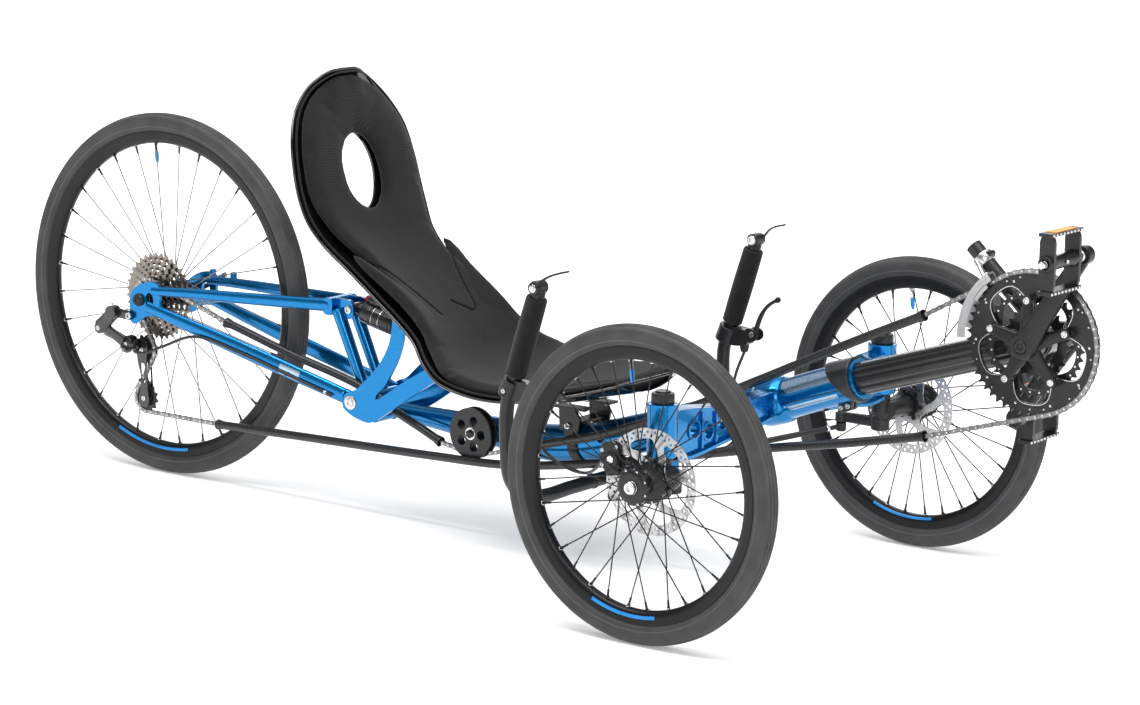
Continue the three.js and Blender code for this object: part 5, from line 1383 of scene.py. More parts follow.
def swingarm_parts():
    """Two stays to a side, a dropout, a strut, and the cheeks and bridge that hold the shock."""
    shape = Shape()
    drop = [(-1302, 296), (-1303, 280), (-1296, 271), (-1288, 271), (-1262, 287), (-1238, 290), (-1234, 300)]
    drop += [(-1234, 338), (-1238, 345), (-1262, 346), (-1296, 328), (-1302, 312)]
    hole = smooth_outline([(-1262, 304), (-1250, 302), (-1248, 322), (-1258, 328), (-1266, 318)], 24)
    cheek = [(-892, 328), (-870, 325), (-850, 326), (-847, 340), (-852, 354), (-872, 356), (-892, 354)]
    strut_along = (65, 0, -141)
    for s in (-1, 1):
        shape.add(stay(lower_stay(s), LOWER_DEPTHS))
        shape.add(stay(upper_stay(s), UPPER_DEPTHS))
        shape.add(prism(smooth_outline(drop, 80), s * 68, s * 74, [hole]))
        shape.add(rod((-880, s * 21, 338), (-815, s * 21, 197), 11, 9, 36))
        shape.add(weld((-879, s * 21, 336), strut_along, 11.4, 1.4, 50))
        shape.add(weld((-819.6, s * 21, 207), strut_along, 9.6, 1.3, 46))
        shape.add(prism(smooth_outline(cheek, 40), s * 15, s * 21))
        shape.add(weld((-829, s * 55, 201.5), (244, 0, 57), 12.6, 1.3, 60))
    bridge = [(-902, 331), (-886, 329), (-884, 336), (-884, 354), (-890, 357), (-902, 354)]
    shape.add(prism(smooth_outline(bridge, 32), -32, 32))
    shape.add(rod((-813, -61.3, 197), (-813, 61.3, 197), 11, 11, 40))
    for x in (-1240, -1192):
        boss = [(0, 0), (6, 0), (6, 17), (5.4, 18), (2.6, 18), (2.6, 10), (0, 10)]
        shape.add(turn(boss, (x, 69, 334), Z, 24))
    piece("rear_arm", shape, [BLUE], "swingarm", "swingarm", "frame_paint", bevel=1.0)
    hardware = Shape()
    hardware.add(rod((-1280, -80, 313.5), (-1280, 80, 313.5), 6, 6, 28))
    for s in (-1, 1):
        nut = [(6, 0), (10.4, 0), (11, 0.6), (11, 3), (9.4, 4.6), (9, 7), (6, 7.6)]
        hardware.add(turn(nut, (-1280, s * 74, 313.5), (0, s, 0), 36, ring=True))
        hardware.add(bolt((-1280, s * 79.4, 313.5), (0, s, 0), 6, 2.4, 24))
        hardware.add(bolt((-857, s * 21, 340), (0, s, 0), 7, 3.4, 28), 1)
    hardware.add(rod((-857, -22, 340), (-857, 22, 340), 5, 5, 20))
    lever = curve([(-1280, 82, 313.5), (-1268, 84, 318), (-1246, 84, 330), (-1222, 82, 344)], 16)
    hardware.add(sweep(lever, rounded(5, 9, 2), ref=Y), 1)
    piece("rear_hardware", hardware, [SATIN, SILVER], "swingarm", "swingarm", "black_metal", bevel=0.3)
    # The pale patches on the lower stays are painted highlights.
    stay_highlights = Shape()
    for s in (-1, 1):
        stay_highlights.add(stay_highlight_patch(s, -972, -926))
    piece("stay_highlight_patch", stay_highlights, [PALE_BLUE], "swingarm", "swingarm", "frame_paint")


def gear_cable_parts():
    """The rear shift cable with its two end caps and two clips."""
    points = [(-1300, -81.5, 226), (-1264, -82, 224), (-1222, -80, 240), (-1150, -76.6, 266),
              (-1059, -73, 252)]
    lead = curve([*points, (-950, -69, 226), (-856, -65.6, 203)], 90)
    cable = Shape()
    cable.add(sweep(lead, circle(2.5, 16)))
    for i in (2, 86):
        cable.add(rod(lead[i], lead[i + 1], 3.1, 3.1, 16), 1)
    for i in (52, 70):
        along = unit(lead[i + 1] - lead[i])
        cable.add(turn([(2.4, -1.6), (3.3, -1.4), (3.3, 1.4), (2.4, 1.6)], lead[i], along, 18, ring=True))
        cable.add(block(lead[i] + (-1.6, 1.4, -1.6), lead[i] + (1.6, 4.6, 1.6)))
    piece("gear_cable", cable, [CABLE_SKIN, SILVER], "swingarm", "shift_cable", "plastic")


def shock_parts():
    """An air can with its reservoir, red dial and valve, and the shaft that slides in it."""
    def along(profile, sides, at=SHOCK_REAR, ring=True):
        return turn(profile, at, SHOCK_ALONG, sides, ring)

    body = Shape()
    body.add(turn(chamfered(6.4, 10, -14.4, 14.4, 0.6), SHOCK_REAR, Y, 40, ring=True))
    body.add(rod(shock_point(7), shock_point(20), 9, 10, 32))
    can = [(9.4, 18), (15, 18), (18, 20), (19, 23), (19, 40), (18.2, 41), (18.2, 43), (19, 44), (19, 64)]
    for start in range(64, 84, 4):
        can += [(19, start), (19, start + 2), (18.1, start + 2.6), (18.1, start + 3.6)]
    body.add(along([*can, (19, 85), (18.4, 89), (16, 90), (9.4, 90)], 56))
    lift = np.array((8, 0, 22))
    pot = [(0, 22), (7, 22), (8, 23.4), (8, 43), (7, 44.6), (0, 44.6)]
    body.add(along(pot, 32, SHOCK_REAR + lift, False))
    body.add(along([(0, 15), (5.4, 15), (6, 16), (6, 21), (5, 22), (0, 22)], 18, SHOCK_REAR + lift, False), 1)
    neck = [shock_point(30) + np.array((2, 0, 12)), shock_point(30) + lift * 0.9]
    body.add(sweep(neck, rounded(12, 10, 3), ref=Y))
    valve = [(0, 0), (3, 0), (3, 5), (2.2, 6), (0, 6)]
    body.add(turn(valve, shock_point(52) + np.array((4, 0, 18.4)), (0.21, 0, 0.98), 16), 2)
    piece("damper", body, [ANODISED, RED, SILVER], "shock_body", "shock_body", "anodised", bevel=0.3)
    bands = Shape()
    for at in (46, 61):
        bands.add(along([(18.8, at), (19.15, at), (19.15, at + 0.8), (18.8, at + 0.8)], 56))
    piece("damper_bands", bands, [SILVER], "shock_body", "shock_body", "bare_steel")
    shaft = Shape()
    shaft.add(rod(shock_point(62), shock_point(SHOCK_LENGTH - 8), 8, 8, 32))
    shaft.add(turn(chamfered(5.6, 9.5, -12.2, 12.2, 0.5, 0.6), SHOCK_FRONT, Y, 40, ring=True), 1)
    shaft.add(along([(8, 122), (11, 122), (12, 123), (12, 129), (11, 131), (8, 131)], 40), 1)
    shaft.add(along([(8, 100), (9.2, 100), (9.2, 101.6), (8, 101.6)], 32), 2)
    piece("damper_shaft", shaft, [SILVER, ANODISED, RED], "shock_shaft", "shock_shaft", "bare_steel",
        bevel=0.3)


swingarm_parts()
gear_cable_parts()
shock_parts()


# ------------------------------------------------------------------ steering
GRIP_Y = 288


def knuckle_parts():
    """A kingpin with rubber rings, an axle, a steering arm and the bracket for the caliper."""
    shape = Shape()
    pin = [(0, 0), (13, 0), (15, 1.6), (15, 18), (13.4, 20), (13.4, 24), (15, 26), (15, 56), (14, 59.6),
           (0, 59.6)]
    shape.add(turn(pin, (*KINGPIN, 202), Z, 44))
    for z in range(232, 253, 5):
        shape.add(turn([(14.8, 0), (15.6, 0.6), (15.6, 1.6), (14.8, 2.2)], (*KINGPIN, z), Z, 44, ring=True))
    shape.add(rod((-4, -352, 236.5), (-4, -296, 236.5), 16, 14, 40))
    shape.add(sweep(curve([(*KINGPIN, 226), (-14, -306, 230), (-4, -318, 236.5)], 8), circle(15, 28), ref=Z))
    shape.add(rod((0, -404, 236.5), (0, -350, 236.5), 10, 10, 32), 1)
    arm = curve([(*KINGPIN, 214, 9), (-56, -303, 213, 8.6), (-86, -308, 211.6, 8.2), (-100, -310, 211, 8)],
        18)
    shape.add(sweep(arm[:, :3], rounded(2, 1.5, 0.5, 3), arm[:, 3], ref=Z))
    shape.add(turn(chamfered(0, 10, 0, 15, 1), (-100, -310, 203), Z, 32))
    shape.add(hexagon((-100, -310, 218), Z, 7, 5), 1)
    bracket = curve([(-18, -318, 238, 8), (-34, -322, 246, 7.6), (-50, -325, 257, 7), (-58, -326, 260, 7)],
        14)
    shape.add(sweep(bracket[:, :3], rounded(2, 1.6, 0.5, 3), bracket[:, 3], ref=Y))
    both_sides("upright", shape, [SATIN, SILVER], "knuckle", "steering_knuckle", "black_metal", bevel=0.8)


def caliper_parts():
    """Two halves bolted over the rotor, with a hose fitting on top."""
    mid = -355
    shape = Shape()
    half = [(-80, 246), (-74, 239), (-60, 239), (-54, 248), (-54, 276), (-60, 286), (-72, 288), (-84, 282),
            (-86, 262)]
    for y0, y1 in ((mid - 7.4, mid - 2.3), (mid + 2.3, mid + 9.6)):
        shape.add(prism(smooth_outline(half, 56), y0, y1))
    spine = smooth_outline([(-86, 250), (-80, 244), (-77, 262), (-77, 284), (-84, 282), (-88, 266)], 30)
    shape.add(prism(spine, mid - 5, mid + 8))
    upper = smooth_outline([(-79, 272), (-56, 272), (-55, 282), (-62, 288), (-76, 287)], 30)
    shape.add(prism(upper, mid + 8, mid + 19))
    drum = [(0, 0), (12, 0), (12.6, 1), (12.6, 2.6), (11, 3.6), (0, 3.6)]
    shape.add(turn(drum, (-66, mid - 7.2, 262), (0, -1, 0), 36))
    shape.add(disc((-66, mid - 10.6, 262), (0, -1, 0), 6.4, 1, 6), 1)
    for x, z in ((-82, 274), (-82, 252), (-58, 281)):
        shape.add(bolt((x, mid - 6.6, z), (0, -1, 0), 3.4, 3, 16), 1)
    fitting = [(0, 0), (4.6, 0), (4.6, 8), (3.4, 9), (0, 9)]
    shape.add(turn(fitting, (-86, mid + 8, 262), (-0.5, 0.6, 0.4), 18), 1)
    both_sides("caliper", shape, [SATIN, SILVER], "knuckle", "brake_caliper", "black_metal", bevel=0.8)


def tie_rod_parts():
    inner, outer = np.array((-295, -10, 150)), np.array((-100, -310, 195))
    along = unit(outer - inner)
    shape = Shape()
    shape.add(rod(inner + along * 22, outer - along * 22, 5, 5, 28))
    for end, d, foot in ((inner, along, 6), (outer, -along, 8)):
        shape.add(rod(end + d * 4, end + d * 24, 4.2, 3.6, 20))
        shape.add(hexagon(end + d * 21, d, 6, 5), 1)
        ball = [(0, -foot), (6.4, -foot), (8.4, -foot + 2), (8.6, 0), (8.4, foot - 2), (6.4, foot), (0, foot)]
        shape.add(turn(ball, end, Z, 32))
        shape.add(disc(end + (0, 0, foot), Z, 4, 1.4, 6), 1)
    both_sides("link", shape, [SATIN, SILVER], "tie_rod", "tie_rod", "black_metal", bevel=0.3)


BAR_HALF = [(-322, 0, 137), (-322, -60, 137), (-322, -120, 137), (-321, -190, 137), (-319, -245, 150),
            (-318, -278, 182)]
BAR_HALF += [(-317, -288, 230), (-316, -288, 300), (-301, -288, 345), (-262, -288, 468), (-259, -288, 478)]
GRIP_LOW, GRIP_HIGH = np.array((-301, -GRIP_Y, 345)), np.array((-262, -GRIP_Y, 468))
GRIP_ALONG = unit(GRIP_HIGH - GRIP_LOW)


def handlebar_parts():
    shape = Shape()
    whole = BAR_HALF[:0:-1] + [(x, -y, z) for x, y, z in BAR_HALF]
    shape.add(sweep(curve(whole, 260), circle(11, 36), ref=X))
    stem = rounded(115, 40, 8)
    shape.add(prism([(-272.5 + a, b) for a, b in stem], 127, 140, plane="xy"))
    shape.add(turn(chamfered(0, 18, 0, 35.6, 1), (-215, 0, 124), Z, 48))
    for y in (-60, 60):
        shape.add(turn([(11.1, -3), (12.2, -2), (12.2, 2), (11.1, 3)], (-322, y, 137), Y, 36, ring=True), 1)
    for s in (-1, 1):
        shape.add(turn([(0, 0), (7, 0), (6, 5), (0, 5)], (-295, s * 10, 138), Z, 24), 1)
        for x in (-318, -300):
            shape.add(bolt((x - 6, s * 14, 127.6), (0, 0, -1), 4, 3.6, 18), 1)
        shape.add(turn(chamfered(0, 11, -11.2, 11.2, 1.4), (-259, s * GRIP_Y, 484), Y, 44))
        shape.add(rod((-259, s * 286, 484), (-259, s * 304, 484), 4, 4, 20), 2)
        face = [(0, 0), (7.2, 0), (8.2, 0.8), (8.2, 2), (7, 3), (3.6, 3), (3.4, 1.2), (0, 1.2)]
        shape.add(turn(face, (-259, s * 277.2, 484), (0, -s, 0), 32), 2)
        neck = [(-262.4, s * GRIP_Y, 466), (-260, s * GRIP_Y, 475), (-259, s * GRIP_Y, 484)]
        shape.add(sweep(curve(neck, 8), circle(11.2, 28), ref=Y))
    piece("bar", shape, [SATIN, DARK_GREY, SILVER], "handlebar", "handlebar", "anodised", bevel=0.5)


def grip_parts():
    grip = Shape()
    length = float(np.linalg.norm(GRIP_HIGH - GRIP_LOW))
    outer = [(12.2, 0.2), (15.6, 0), (16.6, 1.2)]
    for k in range(12):
        t = k / 11
        outer.append((16.5 + 0.7 * math.sin(math.pi * t), 3 + (length - 6) * t))
    outer += [(16, length - 1), (15, length), (12.2, length - 0.2)]
    grip.add(turn(outer, GRIP_LOW, GRIP_ALONG, 48, ring=True))
    both_sides("foam_grip", grip, [FOAM], "handlebar", "grip", "foam")
    perch = Shape()
    low, high = np.array((-314, -GRIP_Y, 312)), np.array((-304, -GRIP_Y, 337))
    d = unit(high - low)
    span = float(np.linalg.norm(high - low))
    perch.add(turn(chamfered(12.4, 18, 0, span, 1), low, d, 44, ring=True))
    block_line = [(-302, 310), (-280, 308), (-266, 312), (-262, 322), (-266, 333), (-284, 337), (-300, 336)]
    perch.add(prism(smooth_outline(block_line, 48), -GRIP_Y - 10.6, -GRIP_Y + 10.6))
    ear = smooth_outline([(-270, 320), (-256, 317), (-247, 323), (-247, 333), (-256, 339), (-268, 337)], 32)
    for s in (-1, 1):
        perch.add(prism(ear, -GRIP_Y + s * 8.5 - 2.4, -GRIP_Y + s * 8.5 + 2.4))
        perch.add(disc((-256, -GRIP_Y + s * 10.8, 330), (0, s, 0), 4.6, 1.4, 24), 1)
    perch.add(rod((-256, -GRIP_Y - 10.9, 330), (-256, -GRIP_Y + 10.9, 330), 2.6, 2.6, 16), 1)
    foot = [(9, 0), (9, 3), (8, 4), (7.4, 10), (6, 16), (4, 17), (0, 17), (0, 0)]
    perch.add(turn(foot, (-276, -GRIP_Y, 314), (0, 0, -1), 28))
    perch.add(bolt((-310, -GRIP_Y - 17.4, 322), (0, -1, 0), 3.8, 3, 16), 1)
    both_sides("perch", perch, [SATIN, SILVER], "handlebar", "brake_perch", "black_metal", bevel=0.7)


def lever_parts():
    blade = Shape()
    line = [(-256, 330, 5.4, 3.8), (-251, 345, 5, 4), (-245, 360, 4.8, 3.6), (-236, 374, 4.6, 3)]
    line += [(-226, 383, 4.8, 3), (-214, 390, 5, 3.2)]
    rows = curve([(x, -GRIP_Y, z, wide, deep) for x, z, wide, deep in line], 30)
    blade.add(sweep(rows[:, :3], circle(1, 24), [(a, b) for a, b in rows[:, 3:]], ref=Y))
    blade.add(turn(chamfered(0, 7, -5.6, 5.6, 1, 0.8), (-256, -GRIP_Y, 330), Y, 32))
    knob = [(0, -4.6), (4, -3.6), (5.2, 0), (4, 3.6), (0, 4.6)]
    blade.add(turn(knob, (-213, -GRIP_Y, 390.4), (1, 0, 0.6), 24))
    both_sides("blade", blade, [SATIN], "brake_lever", "brake_lever", "black_metal", bevel=0.2)
    shifter = Shape()
    disc = [(4.6, -15.5), (8, -15.5), (9.6, -14.8), (10, -13.8), (10, -12.4), (9.4, -11.8), (4.6, -11.8)]
    shifter.add(turn(disc, (-259, -GRIP_Y, 484), Y, 40, ring=True))
    line = [(-254, -GRIP_Y - 14, 486, 3.2, 1.8), (-245, -GRIP_Y - 13, 496, 3.6, 1.8),
            (-234, -GRIP_Y - 8, 504, 4.2, 1.7)]
    line += [(-220, -GRIP_Y - 3.4, 509.6, 4.6, 1.7), (-204, -GRIP_Y, 514, 4.4, 1.6)]
    rows = curve(line, 30)
    shifter.add(sweep(rows[:, :3], circle(1, 20), [(a, b) for a, b in rows[:, 3:]], ref=Y))
    face = [(0, -18.6), (3, -18.6), (3.2, -17.4), (5.4, -17.2), (6.4, -16.4), (6.4, -15.6), (0, -15.6)]
    cap = Shape()
    cap.add(turn(face, (-259, -GRIP_Y, 484), Y, 32))
    both_sides("shifter", shifter, [SATIN], "shift_lever", "shift_lever", "black_metal", bevel=0.2)
    both_sides("shifter_bolt", cap, [SILVER], "shift_lever", "shift_lever", "bare_steel", bevel=0.2)


BRAKE_HOSE = [(-276, -288, 297), (-281, -272, 262), (-272, -250, 224), (-240, -240, 203), (-192, -256, 204)]
BRAKE_HOSE += [(-140, -292, 230), (-108, -322, 258), (-91, -340, 262), (-88.4, -346, 262)]


def hose_parts():
    """Each hose is split in two where it hangs from the frame."""
    line = curve(BRAKE_HOSE, 120)
    middle = 62
    for side, flip in (("right", 1), ("left", -1)):
        for points, first, second, name in (
            (line[: middle + 1], "handlebar", "frame", "lever_end_"),
            (line[middle:], "frame", "knuckle_" + side, "caliper_end_"),
        ):
            shape = Shape().add(sweep(points, circle(2.5, 16)))
            hose = piece("hose_" + name + side, shape, [CABLE_SKIN], None, "brake_hose_" + side, "plastic",
                         mirror=flip < 0)
            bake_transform(hose)


knuckle_parts()
caliper_parts()
tie_rod_parts()
handlebar_parts()
grip_parts()
lever_parts()
hose_parts()


# ------------------------------------------------------------------ seat
SEAT_LINE = [(-869, 724, 24), (-873, 717, 54), (-875, 703, 86), (-870, 677, 115), (-858, 640, 136),
             (-843, 585, 147)]
SEAT_LINE += [(-830, 540, 148), (-816, 508, 144), (-794, 476, 132), (-760, 446, 122), (-713, 411, 119)]
SEAT_LINE += [(-660, 371, 119), (-622, 339, 125), (-588, 309, 146), (-545, 287, 167), (-484, 275, 174)]
SEAT_LINE += [(-410, 275, 174), (-340, 286, 158), (-290, 298, 128), (-262, 305, 84)]
PAD_THICK = 20
SHELL_NEAR, SHELL_FAR = 21.6, 25.6


def seat_rows(count):
    """Evenly spaced (x, z, half width) with the seat's normal and its dish at each."""
    rows = curve(SEAT_LINE, count)
    slope = np.gradient(rows[:, :2], axis=0)
    slope /= np.linalg.norm(slope, axis=1, keepdims=True)
    normals = np.stack([-slope[:, 1], slope[:, 0]], 1)
    t = np.clip((rows[:, 0] + 700) / 180, 0, 1)
    dish = 4 + 14 * t * t * (3 - 2 * t)
    return rows, normals, dish


def seat_point(row, normal, dish, across, depth, inset=0.0):
    x, z, half = row
    lift = dish * across * across - depth
    return (x + normal[0] * lift, (half - inset) * across, z + normal[1] * lift)


WAIST = [-836, -816, -800, -786, -758, -713, -660, -622, -588, -545]
WAIST_INSET = [0, 8, 10, 12, 14, 6, 2, 1, 0, 0]
WAIST_RISE = [0, 5, 7, 9, 10, 10, 10, 9, 6, 0]


def blunted(value, power):
    return math.copysign(abs(value) ** power, value)


def end_ease(i, count, reach):
    """Rises as a quarter circle from 0 at either end of a row of rings to 1 at reach rings inwards."""
    end = min(i, count - 1 - i)
    return math.sqrt(1 - (1 - end / reach) ** 2) if end < reach else 1.0


def slab_shape(near, far, inset, edge_power, waist=False):
    """A cushion-like slab that follows the seat, rounded at its edges and ends."""
    count = 96
    rows, normals, dish = seat_rows(count)
    if waist:
        rows[:, 2] -= np.interp(rows[:, 0], WAIST, WAIST_INSET)
        dish = dish + np.interp(rows[:, 0], WAIST, WAIST_RISE)
    rings = []
    for i in range(count):
        ease = end_ease(i, count, 2.2)
        ring = []
        for c, s in circle(1, 64):
            depth = (near + far) / 2 - blunted(s, edge_power) * (far - near) / 2 * max(0.35, ease)
            ring.append(seat_point(rows[i], normals[i], dish[i], blunted(c, 0.5), depth,
                inset + 5 * (1 - ease)))
        rings.append(ring)
    return loft(rings)


WING = [(-772, 455, 108, 122, 4, 9), (-757, 443, 102, 124, 4, 13), (-721, 416, 82, 120, 4, 17)]
WING += [(-691, 393.7, 66, 118, 4, 19), (-660, 371, 54, 119, 3.5, 20), (-641, 355, 46, 121, 2.5, 20)]
WING += [(-622, 339, 56, 124, 0.5, 18), (-600, 320, 80, 132, -2, 15), (-575, 302, 105, 142, -4, 11)]


def wing_shape(side):
    """A flap that stands along the seat's side; WING gives x, z, both edges' y and their heights."""
    rows = curve(WING, 40)
    rings = []
    for i, (x, z, inner, outer, low, high) in enumerate(rows):
        slim = max(0.4, end_ease(i, len(rows), 3))
        ring = []
        for c, s in circle(1, 28):
            u = 0.5 + 0.5 * blunted(c, 0.6) * slim
            thick = 4.6 + 4 * u
            up = low + (high - low) * u - 0.6 - thick + thick * blunted(s, 0.6) * slim
            ring.append((x + 0.66 * up, side * (inner + (outer - inner) * u), z + 0.75 * up))
        rings.append(ring)
    return loft(rings)


NECK_HALF_WIDTH, NECK_HALF_HEIGHT = 43, 62


def neck_cutter(grow):
    """An oval plug through the neck's window, wider than the window by grow all round."""
    top, low = np.array((-853, 0, 628.0)), np.array((-827, 0, 522.0))
    along = unit(top - low)
    through = np.array((along[2], 0, -along[0])) * 70
    wide, tall = np.array(Y) * (NECK_HALF_WIDTH + grow), along * (NECK_HALF_HEIGHT + grow)
    oval = [(top + low) / 2 + wide * y + tall * z for y, z in circle(1, 72)]
    return loft([[p - through for p in oval], [p + through for p in oval]])


def raw_object(name, part):
    verts, faces = part
    return mesh_object(name, np.array([tuple(v) for v in verts], float), [tuple(f) for f in faces])


def bake_modifiers(obj):
    bpy.context.view_layer.update()
    evaluated = obj.evaluated_get(bpy.context.evaluated_depsgraph_get())
    mesh = bpy.data.meshes.new_from_object(evaluated)
    obj.modifiers.clear()
    old = obj.data
    obj.data = mesh
    bpy.data.meshes.remove(old)


def modified(obj, kind, **settings):
    """Applies one modifier with these settings."""
    modifier = obj.modifiers.new(kind.lower(), kind)
    for name, value in settings.items():
        setattr(modifier, name, value)
    bake_modifiers(obj)


def cut(obj, part):
    cutter = raw_object("cutter", part)
    modified(obj, "BOOLEAN", operation="DIFFERENCE", solver="EXACT", object=cutter)
    bpy.data.objects.remove(cutter)


def corners_of(obj):
    flat = np.empty(len(obj.data.vertices) * 3)
    obj.data.vertices.foreach_get("co", flat)
    return flat.reshape(-1, 3)


SWELL_FRAMES = 20


def plump(obj, voxel_mm, cap_mm):
    """Remeshes a closed form and lets cloth under pressure swell it, by no more than the cap."""
    modified(obj, "REMESH", mode="VOXEL", voxel_size=voxel_mm * MM)
    modified(obj, "SMOOTH", iterations=30, factor=0.5)
    start = corners_of(obj)
    cloth = obj.modifiers.new("cloth", "CLOTH")
    cloth.settings.use_pressure = True
    cloth.settings.uniform_pressure_force = 4.0
    cloth.settings.effector_weights.gravity = 0
    cloth.settings.quality = 4
    cloth.collision_settings.use_collision = False
    cloth.point_cache.frame_start = 1
    cloth.point_cache.frame_end = SWELL_FRAMES
    for step in range(1, SWELL_FRAMES + 1):
        bpy.context.scene.frame_set(step)
    bake_modifiers(obj)
    bpy.context.scene.frame_set(1)
    change = corners_of(obj) - start
    length = np.linalg.norm(change, axis=1, keepdims=True)
    limit = cap_mm * MM
    change *= limit * np.tanh(length / limit) / np.maximum(length, 1e-9)
    obj.data.vertices.foreach_set("co", (start + change).reshape(-1))
    modified(obj, "SMOOTH", iterations=6, factor=0.5)
    obj.data.update()


def dress(obj, material, node, soft):
    """Gives a made object its material and its place in the frame; a soft one is also subdivided once."""
    obj.data.materials.clear()
    obj.data.materials.append(material)
    obj.data.polygons.foreach_set("use_smooth", [True] * len(obj.data.polygons))
    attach(obj, "frame")
    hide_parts(node)
    if soft:
        divide = obj.modifiers.new("divide", "SUBSURF")
        divide.levels = divide.render_levels = 1


def perimeter(inset, depth):
    """A closed line round the seat's edge at a given depth."""
    rows = list(zip(*seat_rows(96)))
    right = [seat_point(*row, -1, depth, inset) for row in rows]
    left = [seat_point(*row, 1, depth, inset) for row in rows]
    return right + left[::-1]


SLIT = [(-766, 104), (-740, 93), (-721, 80.5), (-691, 64.5), (-667, 55.5), (-652, 49), (-643, 43), (-642, 34)]
SLIT += [(-648, 24), (-656, 14), (-664, 5)]


HEAD_LOW = 520
FAR_AWAY = 1000


def slit_cutter(side):
    """A narrow blade that parts the pad from its side flap; on the left it hooks in under the waist."""
    rows, normals, dish = seat_rows(400)
    points = []
    for x, y in SLIT if side > 0 else SLIT[:7]:
        i = int(np.argmin(np.abs(rows[:, 0] - x) + FAR_AWAY * (rows[:, 1] > HEAD_LOW)))
        lift = dish[i] * (y / rows[i][2]) ** 2
        points.append((rows[i][0] + normals[i][0] * lift, side * y, rows[i][1] + normals[i][1] * lift))
    blade = [(-11, -1.3), (12, -1.9), (12, 1.9), (-11, 1.3)]
    return sweep(curve(points, 48), blade, ref=(0.66, 0, 0.75))


def pad_parts():
    pad = raw_object("pad_main", slab_shape(2.2, PAD_THICK - 1.8, 2.5, 0.28, waist=True))
    cut(pad, neck_cutter(1.5))
    plump(pad, 4.5, 5)
    for side in (-1, 1):
        cut(pad, slit_cutter(side))
    dress(pad, CLOTH, "seat_pad", True)
    for side, name in ((-1, "right"), (1, "left")):
        wing = raw_object("pad_wing_" + name, wing_shape(side))
        plump(wing, 4, 4)
        dress(wing, CLOTH, "seat_pad", True)
    line = curve(perimeter(0.4, PAD_THICK - 3.4), 300, closed=True)
    binding = Shape().add(sweep(line, circle(1.7, 8), closed=True))
    piece("pad_binding", binding, [CLOTH], "frame", "seat_pad", "seat_cloth")


def shell_parts():
    shell = raw_object("shell_pan", slab_shape(SHELL_NEAR, SHELL_FAR, -2.6, 0.1))
    cut(shell, neck_cutter(4))
    dress(shell, GLOSS, "seat_shell", False)
    shell.data.set_sharp_from_angle(angle=math.radians(40))
    line = curve(perimeter(-3.4, (SHELL_NEAR + SHELL_FAR) / 2), 360, closed=True)
    lip = Shape().add(sweep(line, circle(2.3, 12), closed=True))
    piece("shell_lip", lip, [GLOSS], "frame", "seat_shell", "seat_composite")


def seat_mount_parts():
    """A band round the main tube with two bent side plates that bolt to the shell."""
    bracket = Shape()
    side_plate = [(-402, 205), (-366, 205), (-362, 226), (-370, 238), (-376, 243), (-404, 243), (-403, 222)]
    for s in (-1, 1):
        bracket.add(prism(side_plate, s * 37.5, s * 42.5))
        bracket.add(block((-414, s * 22, 241), (-352, s * 46, 245)))
        for x in (-404, -362):
            bracket.add(bolt((x, s * 30, 241), (0, 0, -1), 4.4, 3, 16), 1)
        bracket.add(bolt((-385, s * 42.5, 214), (0, s, 0), 5.4, 4, 20), 1)
        bracket.add(block((-394, s * 30, 196), (-376, s * 41, 206)))
    bracket.add(block((-398, -42, 215.2), (-372, 42, 219.2)))
    bracket.add(turn(chamfered(31.2, 34, -9, 9, 0.4, 1), (-385, 0, 179.4), unit((100, 0, 20)), 56, ring=True))
    piece("seat_mount", bracket, [SATIN, SILVER], "frame", "seat_bracket", "black_metal", bevel=0.8)


pad_parts()
shell_parts()
seat_mount_parts()


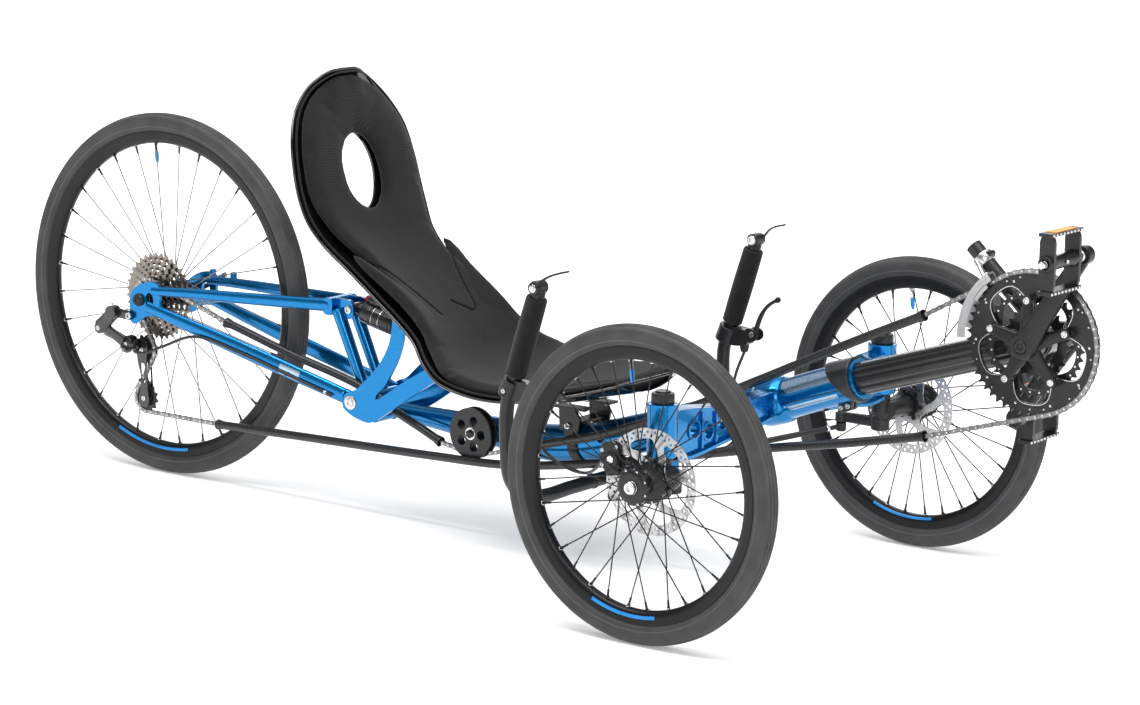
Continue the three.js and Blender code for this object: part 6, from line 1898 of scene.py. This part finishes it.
# ------------------------------------------------------------------ floor and light
def floor_parts():
    """A pale floor that glows more with distance, so that it runs out into white."""
    mesh = bpy.data.meshes.new("floor")
    mesh.from_pydata([(-40, -40, 0), (40, -40, 0), (40, 40, 0), (-40, 40, 0)], [], [(0, 1, 2, 3)])
    mesh.materials.append(finish_of("studio_floor", (0.93, 0.93, 0.93), 0.75, 0, 0.01, 2, 30, 0.02))
    tree = mesh.materials[0].node_tree
    surface = tree.nodes["Principled BSDF"]
    surface.inputs["Emission Color"].default_value = (1, 1, 1, 1)
    coords = tree.nodes.new("ShaderNodeTexCoord").outputs["Object"]
    distance = tree.nodes.new("ShaderNodeVectorMath")
    distance.operation = "LENGTH"
    tree.links.new(coords, distance.inputs[0])
    glow = ranged(tree, distance.outputs["Value"], 0.24, 0.74, 0.9, 3.2)
    tree.links.new(glow, surface.inputs["Emission Strength"])
    link_object("floor", mesh)


def soft_light(name, at, size, watts):
    """A soft box that looks at the middle of the tricycle."""
    data = bpy.data.lights.new(name, "AREA")
    data.shape = "RECTANGLE"
    data.size, data.size_y = size
    data.energy = watts
    light = link_object(name, data)
    light.location = at
    direction = Vector((0, 0, 0.3)) - Vector(at)
    light.rotation_euler = direction.to_track_quat("-Z", "Y").to_euler()


def light_parts():
    """Soft boxes in a white room whose walls are darker between the horizon and the ceiling."""
    world = bpy.data.worlds.new("studio")
    world.use_nodes = True
    tree = world.node_tree
    background = tree.nodes["Background"]
    coords = tree.nodes.new("ShaderNodeTexCoord").outputs["Generated"]
    split = tree.nodes.new("ShaderNodeSeparateXYZ")
    tree.links.new(coords, split.inputs["Vector"])
    walls = tree.nodes.new("ShaderNodeValToRGB")
    ramp = walls.color_ramp.elements
    ramp[0].position, ramp[0].color = 0.12, (1, 1, 1, 1)
    ramp[1].position, ramp[1].color = 0.85, (1, 1, 1, 1)
    for position, level in ((0.24, 0.2), (0.6, 0.3)):
        ramp.new(position).color = (level, level, level, 1)
    tree.links.new(split.outputs["Z"], walls.inputs["Fac"])
    tree.links.new(walls.outputs["Color"], background.inputs["Color"])
    bpy.context.scene.world = world
    bpy.context.scene.view_settings.view_transform = "Standard"
    soft_light("overhead", (0.2, -0.4, 3.4), (4.6, 2.4), 80)
    soft_light("strip", (0.1, -1.3, 3.0), (4.0, 0.16), 40)
    soft_light("key", (2.4, -3.6, 2.4), (1.8, 1.4), 30)
    soft_light("rim", (-1.6, 3.8, 2.2), (3.0, 1.0), 34)
    soft_light("front", (4.4, -0.6, 1.4), (1.2, 2.0), 14)


floor_parts()
light_parts()
